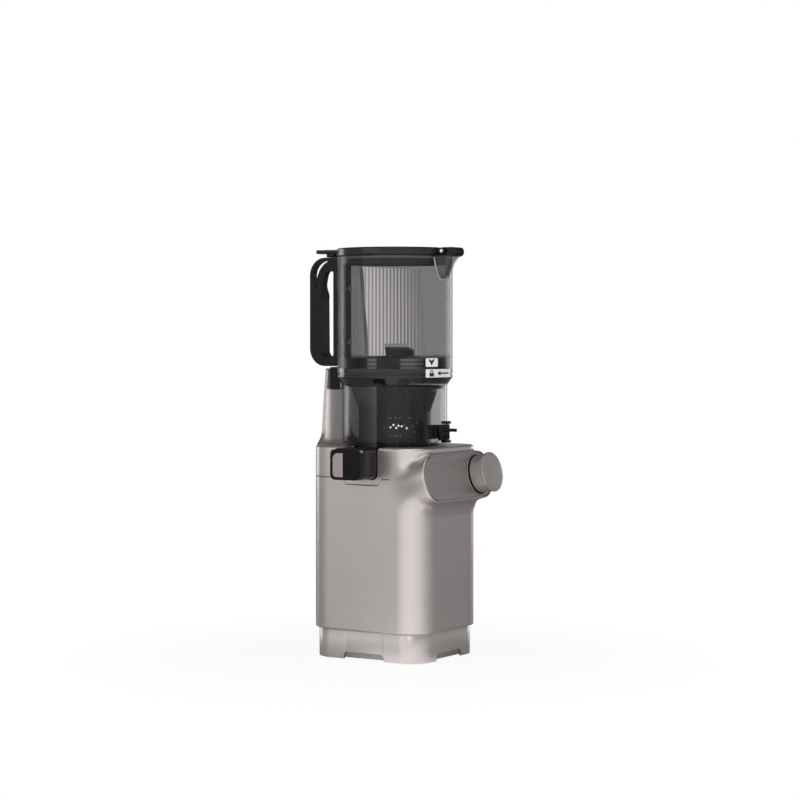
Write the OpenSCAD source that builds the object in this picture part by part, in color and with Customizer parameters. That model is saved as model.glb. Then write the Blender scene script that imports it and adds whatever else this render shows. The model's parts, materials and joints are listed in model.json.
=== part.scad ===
// Upright cold press juicer: motor base, juice bowl with strainer and auger, and a
// self-feeding hopper with a hinged lid. +Z is up. The origin lies on the floor under
// the auger's axis. -X is the juice side, -Y the control side and +Y the handle side.

/* [Housing] */
// Width of the housing across the juice side
body_w = 134; // [130:1:142]
// Depth of the housing, front face to rear corners
body_d = 149; // [146:1:156]
// Corner radius of the housing in plan
body_r = 30; // [24:1:34]
// How far the rounded back stands behind the axis
back_y = 83; // [83:1:88]
// Centre of the back's arc in front of the axis
back_arc_offset = 30; // [24:1:40]
// Wall of the housing shells
housing_wall = 3; // [2.5:0.5:4]
// Height of the housing's flat top
body_top_z = 233; // [231:1:240]
// Height of the seam between lower and upper housing
seam_z = 199; // [196:1:201]
// Drop of the seam under the juice spout
dip_depth = 7; // [5:1:9]
// Height of the seam between housing and base skirt
base_seam_z = 33.5; // [30:0.5:38]
// Inset of the base skirt from the housing
skirt_inset = 4; // [3:0.5:5]
// Wall of the base skirt
skirt_wall = 3; // [2.5:0.5:4]
// Width of the notch between two legs of the skirt
notch_w = 52; // [40:1:56]
// Height of that notch's top above the floor
notch_top_z = 9; // [7:0.5:11]
// Height of the rubber feet
foot_h = 2.5; // [2:0.5:4]
// Radius of the rubber feet
foot_r = 8; // [6:0.5:10]

/* [Column] */
// Drop from the bowl's top to the column's top
column_drop = 1.2; // [0.6:0.2:5]
// Half of the column's width at its top
column_top_hw = 16; // [14:1:20]
// Half of the column's width where its foot flares
column_foot_hw = 27; // [24:1:30]
// Radius of the column's hollow face about the axis
column_inner_r = 80; // [79.8:0.1:80.2]

/* [Front pod] */
// Distance between the pod's two end arcs
pod_span = 92; // [84:1:96]
// Height of the pod's face
pod_h = 53; // [50:1:56]
// Height of the middle of the pod's face
pod_z = 201; // [199:1:203]
// Distance of the middle of the face in front of the axis
pod_y = 83.5; // [82:0.5:88]
// Upward tilt of the face
pod_tilt = 11; // [8:1:14]
// Margin of the pod round the control panel
pod_rim = 1.2; // [1:0.1:2]
// Thickness of the control panel
panel_t = 2.5; // [2:0.5:3]

/* [Knob] */
// Radius of the knob's face disc
knob_r = 22; // [18:0.5:22.5]
// Radius of the textured grip
grip_r = 21; // [17:0.5:21.5]
// Length of the textured grip
grip_l = 14; // [10:1:18]
// Thickness of the knob's face disc
cap_t = 3; // [2:0.5:4]
// Radius of the dark ring under the knob
ring_r = 23.5; // [23:0.5:25]
// Radius of the knob's shaft
knob_shaft_r = 3; // [2.5:0.5:4]

/* [Bowl] */
// Outer radius of the juice bowl
bowl_r = 58; // [57:0.2:59]
// Wall of the juice bowl
bowl_wall = 2.5; // [2:0.25:3]
// Outer radius of the bowl's neck in the housing
neck_r = 50; // [49:0.5:51]
// Height of the bowl above the housing top
bowl_h = 85.2; // [84:0.2:86]
// Drop from the bowl's top to the start of its shoulder
shoulder_drop = 18.2; // [17.6:0.2:19]
// Radial clearance of the neck in its well
well_gap = 1; // [0.6:0.1:1.4]
// Width of the juice spout
spout_w = 40; // [36:1:42]
// Height of the juice spout
spout_h = 34; // [30:1:36]
// Reach of the spout's mouth from the axis
spout_reach = 93; // [90:1:98]
// Wall of the juice spout
spout_wall = 4; // [3:0.5:6]
// Thickness of the juice cap
juice_cap_t = 4.7; // [4:0.1:6]

/* [Strainer and auger] */
// Radius of the strainer's straight basket
strainer_r = 39.6; // [38:0.2:41]
// Radius of the strainer's mouth
strainer_mouth_r = 47; // [45:0.5:48]
// Wall of the strainer
strainer_wall = 1.5; // [1.2:0.1:2]
// Radius of the juice holes
juice_hole_r = 0.9; // [0.6:0.1:1.2]
// Number of juice holes in a row
juice_holes = 12; // [8:1:14]
// Radius of the auger's core
auger_core_r = 17; // [15:1:20]
// Gap between the auger's thread and the strainer
auger_gap = 0.8; // [0.6:0.1:1.4]
// Radius of the auger's crown
crown_r = 21.5; // [18:0.5:24]
// Radius of the auger's stem in its bush
stem_r = 9.2; // [8.8:0.1:10]

/* [Hopper] */
// Outer radius of the hopper and of the bowl's mouth
hopper_r = 64; // [63.6:0.1:64.6]
// Wall of the hopper
hopper_wall = 2.5; // [2:0.25:3]
// Height of the hopper's rim above the floor
hopper_top_z = 441; // [430:1:450]
// Height of the lid above that rim
lid_h = 9; // [8:0.5:11]
// Depth of the lid's skirt inside the hopper
lid_skirt_h = 9; // [7:0.5:11]
// Radius of the hole in the hopper's floor
throat_r = 30; // [27:0.5:34]
// Reach of the pouring beak from the axis
beak_y = 84; // [80:1:86]
// Half of the beak's width at the hopper's wall
beak_hw = 17; // [15:0.5:18]

/* [Handle] */
// Outer face of the handle behind the axis
handle_y = 108.2; // [104:0.2:112]
// Depth of the handle's grip
handle_t = 14.4; // [12:0.2:16]
// Width of the handle's grip
handle_w = 18; // [16:1:22]
// Width of the handle's upper arch
arch_w = 9; // [7:0.5:12]
// Depth of the strip that joins the handle to the hopper
strip_t = 12.4; // [11:0.2:13]
// Thickness of the handle's lower arm
arm_t = 9.5; // [8:0.5:11]
// Outer radius of the handle's corners
handle_corner_r = 20; // [16:1:24]

/* [Drive] */
// Gear module of the reduction gear
gear_module = 2.2; // [2:0.05:2.3]
// Face width of the gears
gear_w = 10; // [8:1:12]
// Radius of the motor's can
motor_r = 40; // [36:1:42]
// Length of the motor's can
motor_l = 76; // [60:1:80]
// Radius of the rotor shaft
rotor_shaft_r = 5; // [4:0.5:6]
// Radius of the drive shaft in its bearing
drive_r = 8; // [7:0.5:9]
// Corner radius of the hexagonal drive end
hex_r = 6.4; // [6:0.1:7]
// Play around the hexagonal end in the auger
hex_gap = 0.45; // [0.4:0.05:0.6]
// Radial running clearance of every turning fit
run = 0.05; // [0.02:0.01:0.09]

/* [Hidden] */

$fn = 96;
seat = 0.3;          // gap between pieces that only lie beside each other
slip = 0.02;         // gap round a piece that is pressed or glued in
big = 300;           // longer than any piece, for cutting tools
arc_steps = 8;       // flats in a quarter of a plan corner
sun_teeth = 12;      // teeth of the sun and of each planet
ring_teeth = 3 * sun_teeth;
half_w = body_w / 2;
half_d = body_d / 2;

// Points of an arc about c, from angle a0 to a1
function arc(c, r, a0, a1, n = arc_steps) =
    [for (i = [0:n]) c + r * [cos(a0 + (a1 - a0) * i / n), sin(a0 + (a1 - a0) * i / n)]];

// Plan outline of the housing, drawn in by e: four round corners and a bowed back
corner_x = half_w - body_r;
front_cy = -(half_d - body_r);
back_r = back_y + back_arc_offset;
rear_cy = sqrt(pow(back_r - body_r, 2) - corner_x * corner_x) - back_arc_offset;
back_a = atan2(rear_cy + back_arc_offset, corner_x);
function plan(e) = concat(
    arc([corner_x, front_cy], body_r - e, -90, 0),
    arc([corner_x, rear_cy], body_r - e, 0, back_a),
    arc([0, -back_arc_offset], back_r - e, back_a, 180 - back_a, 10),
    arc([-corner_x, rear_cy], body_r - e, 180 - back_a, 180),
    arc([-corner_x, front_cy], body_r - e, 180, 270));
module plan_solid(e, z0, z1) { translate([0, 0, z0]) linear_extrude(z1 - z0) polygon(plan(e)); }
module plan_ring(e0, e1, z0, z1) {
    difference() { plan_solid(e0, z0, z1); plan_solid(e1, z0 - 1, z1 + 1); }
}
module tube(ro, ri, z0, z1) {
    translate([0, 0, z0]) difference() {
        cylinder(r = ro, h = z1 - z0);
        translate([0, 0, -1]) cylinder(r = ri, h = z1 - z0 + 2);
    }
}
module at_four(x, y) { for (sx = [-1, 1], sy = [-1, 1]) translate([sx * x, sy * y, 0]) children(); }
// A slab whose outline lies in the YZ plane, w wide along X
module side_slab(points, w) {
    rotate([90, 0, 90]) translate([0, 0, -w / 2]) linear_extrude(w) polygon(points);
}
// A slab whose outline lies in the XZ plane, from y0 to y1
module front_slab(points, y0, y1) {
    translate([0, y1, 0]) rotate([90, 0, 0]) linear_extrude(y1 - y0) polygon(points);
}
// A slab whose outline lies in the YZ plane, from x0 to x1
module cross_slab(points, x0, x1) {
    translate([x0, 0, 0]) rotate([90, 0, 90]) linear_extrude(x1 - x0) polygon(points);
}
function round_rect(w, h, r) = concat(
    arc([w / 2 - r, -h / 2 + r], r, -90, 0, 6), arc([w / 2 - r, h / 2 - r], r, 0, 90, 6),
    arc([-w / 2 + r, h / 2 - r], r, 90, 180, 6), arc([-w / 2 + r, -h / 2 + r], r, 180, 270, 6));

// Base
skirt_top = base_seam_z;
skirt_bottom_z = foot_h / 2;
pan_bottom_z = foot_h;
pan_t = 4;
pan_rim_z = pan_bottom_z + 11.5;
pan_e = skirt_inset + skirt_wall + seat;
post_x = half_w - 20;
post_y = half_d - 21;
post_r = 5;
post_hole_r = 1.6;
screw_r = post_hole_r - run;
screw_head_r = 3.4;
screw_head_h = 2;
post_bottom_z = pan_bottom_z + pan_t;
bracket_z = 142;
bracket_t = 4;
foot_x = half_w - 30;
foot_y = half_d - 44;
lip = 6;
notch_chamfer = 3;

module rubber_feet() {
    color([0.12, 0.12, 0.12]) at_four(foot_x, foot_y) cylinder(r = foot_r, h = foot_h);
}

module bottom_plate() {
    color([0.55, 0.54, 0.53]) difference() {
        plan_solid(pan_e, pan_bottom_z, pan_rim_z);
        plan_solid(pan_e + 2.5, pan_bottom_z + pan_t, pan_rim_z + 1);
        at_four(post_x, post_y) {
            cylinder(r = screw_r + seat, h = big);
            cylinder(r = screw_head_r + seat, h = pan_bottom_z + screw_head_h);
        }
    }
}

function notch_points() = [[-notch_w / 2, -1], [notch_w / 2, -1],
    [notch_w / 2, notch_top_z - notch_chamfer], [notch_w / 2 - notch_chamfer, notch_top_z],
    [-notch_w / 2 + notch_chamfer, notch_top_z], [-notch_w / 2, notch_top_z - notch_chamfer]];

module base_skirt() {
    ledge_z = pan_rim_z;
    color([0.6, 0.59, 0.58]) union() {
        difference() {
            plan_ring(skirt_inset, skirt_inset + skirt_wall, skirt_bottom_z, skirt_top);
            cross_slab(notch_points(), -half_w - 1, half_w + 1);
            front_slab(notch_points(), -half_d - 1, back_y + 1);
        }
        plan_ring(skirt_inset + skirt_wall - 0.5, skirt_inset + skirt_wall + 4, ledge_z, ledge_z + 3);
    }
}

module base_screws() {
    color([0.7, 0.7, 0.72]) at_four(post_x, post_y) translate([0, 0, pan_bottom_z]) {
        cylinder(r = screw_head_r, h = screw_head_h);
        cylinder(r = screw_r, h = 18);
    }
}

// Housing shells
window_hw = pod_span / 2 + 10;
window_depth = 16;
window_z0 = pod_z - 20;
window_z1 = pod_z + 20;
gland_z = 58;
gland_r = 6.5;
gland_bore_r = 3.6;
dip_w = 50;
dip_slope = 4;
function dip_points(e) = [[-dip_w / 2 - e, seam_z + 1], [-dip_w / 2 - e, seam_z],
    [-dip_w / 2 + dip_slope - e, seam_z - dip_depth - e], [dip_w / 2 - dip_slope + e, seam_z - dip_depth - e],
    [dip_w / 2 + e, seam_z], [dip_w / 2 + e, seam_z + 1]];

module window() {
    translate([-window_hw, -half_d - 1, window_z0])
        cube([2 * window_hw, window_depth, window_z1 - window_z0]);
}

module lower_housing() {
    color([0.68, 0.66, 0.65]) difference() {
        union() {
            plan_ring(0, housing_wall, base_seam_z, seam_z);
            plan_ring(housing_wall - 0.5, skirt_inset + lip, base_seam_z, base_seam_z + 3);
            at_four(post_x, post_y) {
                translate([0, 0, post_bottom_z]) cylinder(r = post_r, h = bracket_z - post_bottom_z);
            }
            for (sx = [-1, 1], sy = [-1, 1]) translate([sx * post_x, sy * post_y, base_seam_z])
                rotate([0, 0, sy > 0 ? 90 - sx * 45 : -90 + sx * 45])
                    translate([0, -1.5, 0]) cube([13, 3, bracket_z - base_seam_z - 10]);
        }
        cross_slab(dip_points(0), -half_w - 1, -half_w + housing_wall + 1);
        window();
        at_four(post_x, post_y) {
            cylinder(r = post_hole_r, h = 30);
            translate([0, 0, bracket_z - 15]) cylinder(r = post_hole_r, h = 20);
        }
        translate([0, back_y + 1, gland_z]) rotate([90, 0, 0]) cylinder(r = gland_r, h = housing_wall + 3);
    }
}

well_r = neck_r + well_gap;
well_wall = 3;
well_floor_z = body_top_z - 27;
seal_r = 13;
cut_hw = spout_w / 2 + 0.8;
cut_bottom_z = body_top_z - spout_h - 1;
module spout_cut() {
    corner = 7;
    cross_slab(concat([[cut_hw, big], [-cut_hw, big]],
        arc([-cut_hw + corner, cut_bottom_z + corner], corner, 180, 270, 6),
        arc([cut_hw - corner, cut_bottom_z + corner], corner, 270, 360, 6)), -half_w - 2, -neck_r - 0.7);
    translate([-half_w, -cut_hw, well_floor_z + 0.2]) cube([half_w - neck_r + 10, 2 * cut_hw, big]);
}

module upper_housing() {
    color([0.68, 0.66, 0.65]) difference() {
        union() {
            plan_ring(0, housing_wall, seam_z, body_top_z);
            difference() {
                plan_solid(housing_wall - 0.5, body_top_z - 3, body_top_z);
                translate([0, 0, seam_z]) cylinder(r = well_r + 1, h = big);
            }
            tube(well_r + well_wall, well_r, well_floor_z - 3, body_top_z);
            tube(well_r + 1, seal_r + slip, well_floor_z - 3, well_floor_z);
            intersection() {
                plan_ring(0, housing_wall, seam_z - dip_depth, seam_z + 1);
                cross_slab(dip_points(-0.2), -half_w - 1, -half_w + housing_wall + 1);
            }
        }
        spout_cut();
        window();
        for (sx = [-1, 1]) translate([sx * column_screw_x, column_screw_y, 0])
            cylinder(r = screw_r + seat, h = big);
    }
}

// Rear column
column_screw_x = 30;
column_screw_y = 67;
column_flare_z = body_top_z + 12;
column_top_z = body_top_z + bowl_h - column_drop;
function column_half(s) = [
    [s * half_w * 0.72, body_top_z], [s * 40, body_top_z + 3], [s * 33, body_top_z + 6],
    [s * (column_foot_hw + 1.5), body_top_z + 9], [s * column_foot_hw, column_flare_z],
    [s * (column_top_hw + 5), column_top_z - 42], [s * column_top_hw, column_top_z - 4],
    [s * (column_top_hw - 1.2), column_top_z - 1.2], [s * (column_top_hw - 4), column_top_z]];
function reversed(v) = [for (i = [len(v) - 1:-1:0]) v[i]];

module rear_column() {
    color([0.68, 0.66, 0.65]) difference() {
        intersection() {
            plan_solid(0, body_top_z, column_top_z);
            front_slab(concat(column_half(1), reversed(column_half(-1))), 40, back_y + 5);
        }
        translate([0, 0, body_top_z + 3]) cylinder(r = column_inner_r, h = big);
        translate([0, 0, body_top_z - 1]) cylinder(r = bowl_r + 2, h = big);
        for (sx = [-1, 1]) translate([sx * column_screw_x, column_screw_y, 0])
            cylinder(r = post_hole_r, h = body_top_z + 2.4);
    }
}

module column_screws() {
    color([0.7, 0.7, 0.72]) for (sx = [-1, 1])
        translate([sx * column_screw_x, column_screw_y, body_top_z - 3 - screw_head_h]) {
            cylinder(r = screw_head_r, h = screw_head_h);
            cylinder(r = screw_r, h = screw_head_h + 4.8);
        }
}

// Front pod, in its own frame: the face's middle is the origin and -Y is the face's normal
pod_end_r = pod_h / 2;
recess = panel_t + 0.1;
knob_x = pod_span / 2 - 6;
module on_pod() { translate([0, -pod_y, pod_z]) rotate([-pod_tilt, 0, 0]) children(); }
function stadium(e) = concat(
    arc([pod_span / 2, 0], pod_end_r - e, -90, 90, 16), arc([-pod_span / 2, 0], pod_end_r - e, 90, 270, 16));
module pod_slab(e, y0, y1) { front_slab(stadium(e), y0, y1); }
module along_knob(r, y0, y1) {
    translate([knob_x, y1, 0]) rotate([90, 0, 0]) cylinder(r = r, h = y1 - y0);
}
apron_z = pod_z - pod_end_r;
apron_hw = pod_span / 2;
apron_r = 22;
pod_hw = pod_span / 2 + pod_end_r;
pod_side_y = pod_y - 6;

module front_pod() {
    bottom_y = -pod_y - sin(pod_tilt) * pod_end_r;
    top_y = -pod_y + sin(pod_tilt) * pod_end_r;
    apron = concat(
        [[-half_d + 4, apron_z + 8], [bottom_y + 2, apron_z + 8], [bottom_y + 1, apron_z + 2]],
        arc([-half_d - apron_r, apron_z - apron_r + 5], apron_r, 45, 0, 6),
        [[-half_d + 4, apron_z - apron_r + 4]]);
    brow = [[-half_d + 4, body_top_z - 0.5], [-half_d + 0.2, body_top_z - 0.5], [-half_d - 2, body_top_z - 4],
        [top_y + 0.4, body_top_z - 7], [top_y + 0.4, body_top_z - 14], [-half_d + 4, body_top_z - 14]];
    color([0.6, 0.58, 0.57]) difference() {
        union() {
            on_pod() pod_slab(0, 0, 50);
            side_slab(apron, 2 * apron_hw - 18);
            side_slab(brow, 2 * apron_hw - 8);
        }
        on_pod() pod_slab(pod_rim, -1, recess);
        on_pod() pod_slab(pod_rim + 3, recess - 1, 51);
        plan_solid(0, 100, body_top_z + 1);
        for (s = [-1, 1]) translate([0, 0, apron_z - 30]) linear_extrude(2 * pod_h)
            polygon([[s * (pod_hw + 1), 1 - pod_side_y], [s * (pod_hw + 1), 0], [s * (half_w - 1), 0],
                [s * (half_w - 0.1), front_cy - 4], [s * (pod_hw - 0.5), -pod_side_y]]);
    }
}

module control_panel() {
    color([0.45, 0.43, 0.43]) on_pod() difference() {
        pod_slab(pod_rim + 0.2, 0.1, recess);
        along_knob(knob_shaft_r + 2, -1, 5);
    }
}

module knob_ring() {
    color([0.08, 0.08, 0.08]) on_pod() difference() {
        along_knob(ring_r, -1.4, 0.1);
        along_knob(knob_shaft_r + 2, -2, 1);
    }
}

knob_y0 = -1.7;
module knob_grip() {
    color([0.5, 0.49, 0.48]) on_pod() difference() {
        along_knob(grip_r, knob_y0 - grip_l, knob_y0);
        along_knob(grip_r - 3, knob_y0 - grip_l + 3, knob_y0 + 1);
        along_knob(knob_shaft_r + slip, knob_y0 - grip_l - 1, knob_y0 + 1);
    }
    color([0.5, 0.49, 0.48]) on_pod() difference() {
        along_knob(knob_shaft_r + 3, knob_y0 - grip_l + 2.5, knob_y0);
        along_knob(knob_shaft_r + slip, knob_y0 - grip_l - 1, knob_y0 + 1);
    }
}

module knob_cap() {
    color([0.5, 0.48, 0.48]) on_pod() difference() {
        along_knob(knob_r, knob_y0 - grip_l - cap_t, knob_y0 - grip_l);
        translate([0, -0.4, 0]) difference() {
            along_knob(knob_r - 2.4, knob_y0 - grip_l - cap_t - 1, knob_y0 - grip_l - cap_t + 0.8);
            along_knob(knob_r - 3.2, knob_y0 - grip_l - cap_t - 2, knob_y0 - grip_l - cap_t + 1.6);
        }
    }
}

switch_y0 = recess + seat;
switch_size = 26;
switch_bush_r = knob_shaft_r + 1.8;
module knob_shaft() {
    color([0.75, 0.75, 0.77]) on_pod() along_knob(knob_shaft_r, knob_y0 - grip_l, switch_y0 + 8);
}

module rotary_switch() {
    color([0.2, 0.2, 0.22]) on_pod() difference() {
        union() {
            translate([knob_x - switch_size / 2, switch_y0, -switch_size / 2])
                cube([switch_size, 14, switch_size]);
            along_knob(switch_bush_r, 0.4, switch_y0 + 1);
        }
        along_knob(knob_shaft_r + run, -1, switch_y0 + 8.4);
    }
}

board_t = 1.6;
board_w = 62;
module control_board() {
    color([0.1, 0.35, 0.2]) on_pod() {
        translate([-38, recess + seat + 4, -15]) cube([board_w - 1, board_t, 30]);
        translate([-30, recess + seat + 4 + board_t, -8]) cube([18, 7, 14]);
        for (x = [-34, 16]) translate([x, recess, -12]) cube([4, 4 + seat, 4]);
    }
}

module cord_gland() {
    color([0.08, 0.08, 0.08]) translate([0, back_y, gland_z]) rotate([90, 0, 0]) difference() {
        union() {
            translate([0, 0, -2]) cylinder(r = gland_r + 2, h = 2);
            translate([0, 0, -0.1]) cylinder(r = gland_r - slip, h = housing_wall + 2);
            translate([0, 0, housing_wall + 0.8]) cylinder(r = gland_r + 2, h = 2);
        }
        translate([0, 0, -3]) cylinder(r = gland_bore_r, h = big);
    }
}

// Motor and gearbox
case_rim = 8.4;
case_r = gear_module * ring_teeth / 2 + case_rim;
gear_z0 = bracket_z + bracket_t + 6;
gear_z1 = gear_z0 + gear_w;
case_top_z = gear_z1 + 12;
shaft_top_z = well_floor_z + 16;
motor_top_z = bracket_z;
motor_z0 = motor_top_z - motor_l;
bearing_r = 14;
small_bearing_r = 10;
pitch_r = gear_module * sun_teeth / 2;
orbit_r = 2 * pitch_r;
carrier_t = 4;
planet_pin_r = 3;

module motor_bracket() {
    color([0.6, 0.6, 0.62]) difference() {
        plan_solid(housing_wall + 1, bracket_z, bracket_z + bracket_t);
        translate([0, 0, bracket_z - 1]) cylinder(r = small_bearing_r + slip, h = bracket_t + 2);
        at_four(post_x, post_y) cylinder(r = screw_r + seat, h = big);
        for (a = [45:90:315]) rotate([0, 0, a]) translate([case_r + 4, 0, 0])
            translate([0, 0, bracket_z - 1]) cylinder(r = 1.2, h = 8);
    }
}

module bracket_screws() {
    color([0.7, 0.7, 0.72]) at_four(post_x, post_y) translate([0, 0, bracket_z + bracket_t]) {
        cylinder(r = screw_head_r, h = screw_head_h);
        translate([0, 0, -14]) cylinder(r = screw_r, h = 15);
    }
}

module motor_can() {
    color([0.5, 0.5, 0.52]) difference() {
        translate([0, 0, motor_z0]) cylinder(r = motor_r, h = motor_l);
        translate([0, 0, motor_z0 + 10]) cylinder(r = motor_r - 2, h = motor_l);
        translate([0, 0, motor_z0 + 3]) cylinder(r = small_bearing_r + slip, h = 10);
        for (a = [0:60:300]) rotate([0, 0, a]) translate([motor_r - 12, 0, motor_z0 - 1])
            cylinder(r = 4, h = 12);
    }
}

module motor_stator() {
    color([0.72, 0.42, 0.2]) union() {
        tube(motor_r - 2 - slip, 25, motor_z0 + 20, motor_top_z - 14);
        tube(motor_r - 8, 28, motor_z0 + 14, motor_top_z - 8);
    }
}

module motor_rotor() {
    color([0.45, 0.45, 0.48]) union() {
        translate([0, 0, motor_z0 + 18]) cylinder(r = 24, h = motor_l - 30);
        translate([0, 0, motor_z0 + 3.5]) cylinder(r = rotor_shaft_r, h = gear_z1 - motor_z0 - 4);
    }
}

module motor_bearings() {
    color([0.8, 0.8, 0.82]) for (z = [motor_z0 + 3, bracket_z])
        tube(small_bearing_r, rotor_shaft_r + run, z, z + (z > motor_z0 + 3 ? bracket_t : 7));
}

// Tooth points of an involute gear in polar form, one tooth about angle 0
pressure = 25;
addendum = 0.8;
dedendum = 1.05;
backlash = 0.35;
function inv(a) = tan(a) * 180 / PI - a;
function flank(rp, z, r, play) =
    let (rb = rp * cos(pressure), a = acos(min(1, rb / max(r, rb))))
    90 / z - play * 90 / (PI * rp) + inv(pressure) - inv(a);
function gear_points(z, rp, ra, rr, play) = [for (i = [0:z - 1], k = [0:7])
    let (r = [rr, rp * 0.97, rp * 1.04, ra, ra, rp * 1.04, rp * 0.97, rr][k],
        a = (k < 4 ? -1 : 1) * flank(rp, z, r, play) + 360 * i / z)
    r * [cos(a), sin(a)]];
module gear(z, z0, turn) {
    rp = gear_module * z / 2;
    translate([0, 0, z0]) rotate([0, 0, turn]) linear_extrude(gear_w)
        polygon(gear_points(z, rp, rp + addendum * gear_module, rp - dedendum * gear_module, backlash));
}

module sun_gear() {
    color([0.75, 0.75, 0.78]) difference() {
        gear(sun_teeth, gear_z0, 0);
        translate([0, 0, gear_z0 - 1]) cylinder(r = rotor_shaft_r + slip, h = gear_w + 2);
    }
}

module planet(a) {
    color([0.85, 0.8, 0.65]) rotate([0, 0, a]) translate([orbit_r, 0, 0]) difference() {
        gear(sun_teeth, gear_z0, 180 / sun_teeth);
        translate([0, 0, gear_z0 - 1]) cylinder(r = planet_pin_r + run, h = gear_w + 2);
    }
}
module planet_one() { planet(0); }
module planet_two() { planet(120); }
module planet_three() { planet(240); }

module ring_gear() {
    rp = gear_module * ring_teeth / 2;
    color([0.7, 0.7, 0.72]) difference() {
        translate([0, 0, gear_z0]) cylinder(r = case_r - 2 - slip, h = gear_w);
        translate([0, 0, gear_z0 - 1]) linear_extrude(gear_w + 2) rotate([0, 0, 180 / ring_teeth])
            polygon(gear_points(ring_teeth, rp, rp + dedendum * gear_module,
                rp - addendum * gear_module, -backlash));
    }
}

module gearbox_case() {
    bearing_z = case_top_z;
    color([0.3, 0.3, 0.32]) difference() {
        union() {
            translate([0, 0, bracket_z + bracket_t])
                cylinder(r = case_r, h = case_top_z + 3 - bracket_z - bracket_t);
            translate([0, 0, bearing_z]) cylinder(r = bearing_r + 4, h = well_floor_z - 3 - seat - bearing_z);
        }
        translate([0, 0, gear_z0]) cylinder(r = case_r - 2, h = case_top_z - gear_z0);
        translate([0, 0, bracket_z]) cylinder(r = case_r - 6, h = gear_z0 - bracket_z + 1);
        translate([0, 0, bearing_z + 4]) cylinder(r = bearing_r + slip, h = big);
        translate([0, 0, bearing_z - 1]) cylinder(r = drive_r + 2, h = 20);
    }
}

module planet_carrier() {
    color([0.6, 0.6, 0.62]) union() {
        translate([0, 0, gear_z1 + 0.8]) difference() {
            cylinder(r = orbit_r + 8, h = carrier_t);
            translate([0, 0, -1]) cylinder(r = drive_r - 2 + slip, h = carrier_t + 2);
        }
        for (a = [0:120:240]) rotate([0, 0, a]) translate([orbit_r, 0, gear_z0 + 0.5])
            cylinder(r = planet_pin_r, h = gear_w + 2);
    }
}

module drive_shaft() {
    color([0.8, 0.8, 0.82]) union() {
        translate([0, 0, gear_z1 + 1]) cylinder(r = drive_r - 2, h = carrier_t + 1);
        translate([0, 0, gear_z1 + 0.8 + carrier_t])
            cylinder(r = drive_r, h = well_floor_z - gear_z1 - carrier_t);
        translate([0, 0, well_floor_z - 1]) cylinder(r = hex_r, h = shaft_top_z - well_floor_z + 1, $fn = 6);
    }
}

module shaft_bearing() {
    color([0.8, 0.8, 0.82]) tube(bearing_r, drive_r + run, case_top_z + 4, case_top_z + 14);
}

module shaft_seal() {
    color([0.1, 0.1, 0.1]) tube(seal_r, drive_r + seat, well_floor_z - 3, well_floor_z);
}

// Juice bowl
bowl_z0 = body_top_z;
bowl_top_z = body_top_z + bowl_h;
shoulder_z = bowl_top_z - shoulder_drop;
bowl_floor_z = well_floor_z + 1;
floor_t = 3;
hub_bore_r = stem_r + run + 1.8;
hub_r = hub_bore_r + 2.4;
hub_top_z = bowl_floor_z + 15;
spout_z0 = body_top_z - spout_h;
spout_z1 = body_top_z;
spout_corner = 6;
channel_hw = spout_w / 2 - spout_wall;
channel_z0 = bowl_floor_z + floor_t + 1;
channel_z1 = spout_z1 - spout_wall;
cap_pin_x = -spout_reach - 2.6;
cap_pin_z = spout_z1 - 3;
cap_pin_r = 1.5;
lever_x = 8;
lever_y = -bowl_r - 5.2;
lever_pin_r = 1.5;
lever_z0 = body_top_z + 7;
lever_z1 = body_top_z + 24;
pulp_hw = 6;
pulp_z0 = body_top_z + 9;
pulp_z1 = body_top_z + 22;

function bowl_profile() = [
    [0, bowl_floor_z], [neck_r, bowl_floor_z], [neck_r, bowl_z0], [bowl_r - 2.4, bowl_z0],
    [bowl_r, bowl_z0 + 2.4], [bowl_r, shoulder_z], [hopper_r, shoulder_z + 8], [hopper_r, bowl_top_z],
    [hopper_r - bowl_wall, bowl_top_z], [hopper_r - bowl_wall, shoulder_z + 7],
    [bowl_r - bowl_wall, shoulder_z - 1], [bowl_r - bowl_wall, bowl_z0 + 6],
    [neck_r - 3, bowl_z0 + 3], [neck_r - 3, bowl_floor_z + floor_t], [0, bowl_floor_z + floor_t]];

module juice_bowl() {
    color([0.25, 0.24, 0.23, 0.6]) difference() {
        union() {
            rotate_extrude() polygon(bowl_profile());
            for (z = [lever_z0 - 3.3, lever_z1 + 0.3])
                translate([lever_x - 3.6, lever_y - 3, z]) cube([7.2, 9, 3]);
        }
        channel();
        translate([0, 0, bowl_floor_z - 1]) cylinder(r = hub_bore_r + slip, h = big);
        translate([lever_x, lever_y, lever_z0 - 5])
            cylinder(r = lever_pin_r + slip, h = lever_z1 - lever_z0 + 10);
        translate([-pulp_hw, -bowl_r - 1, pulp_z0]) cube([2 * pulp_hw, 8, pulp_z1 - pulp_z0]);
    }
}

module channel() {
    translate([-spout_reach - 1, -channel_hw, channel_z0])
        cube([spout_reach - neck_r + 8, 2 * channel_hw, channel_z1 - channel_z0]);
}

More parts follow.
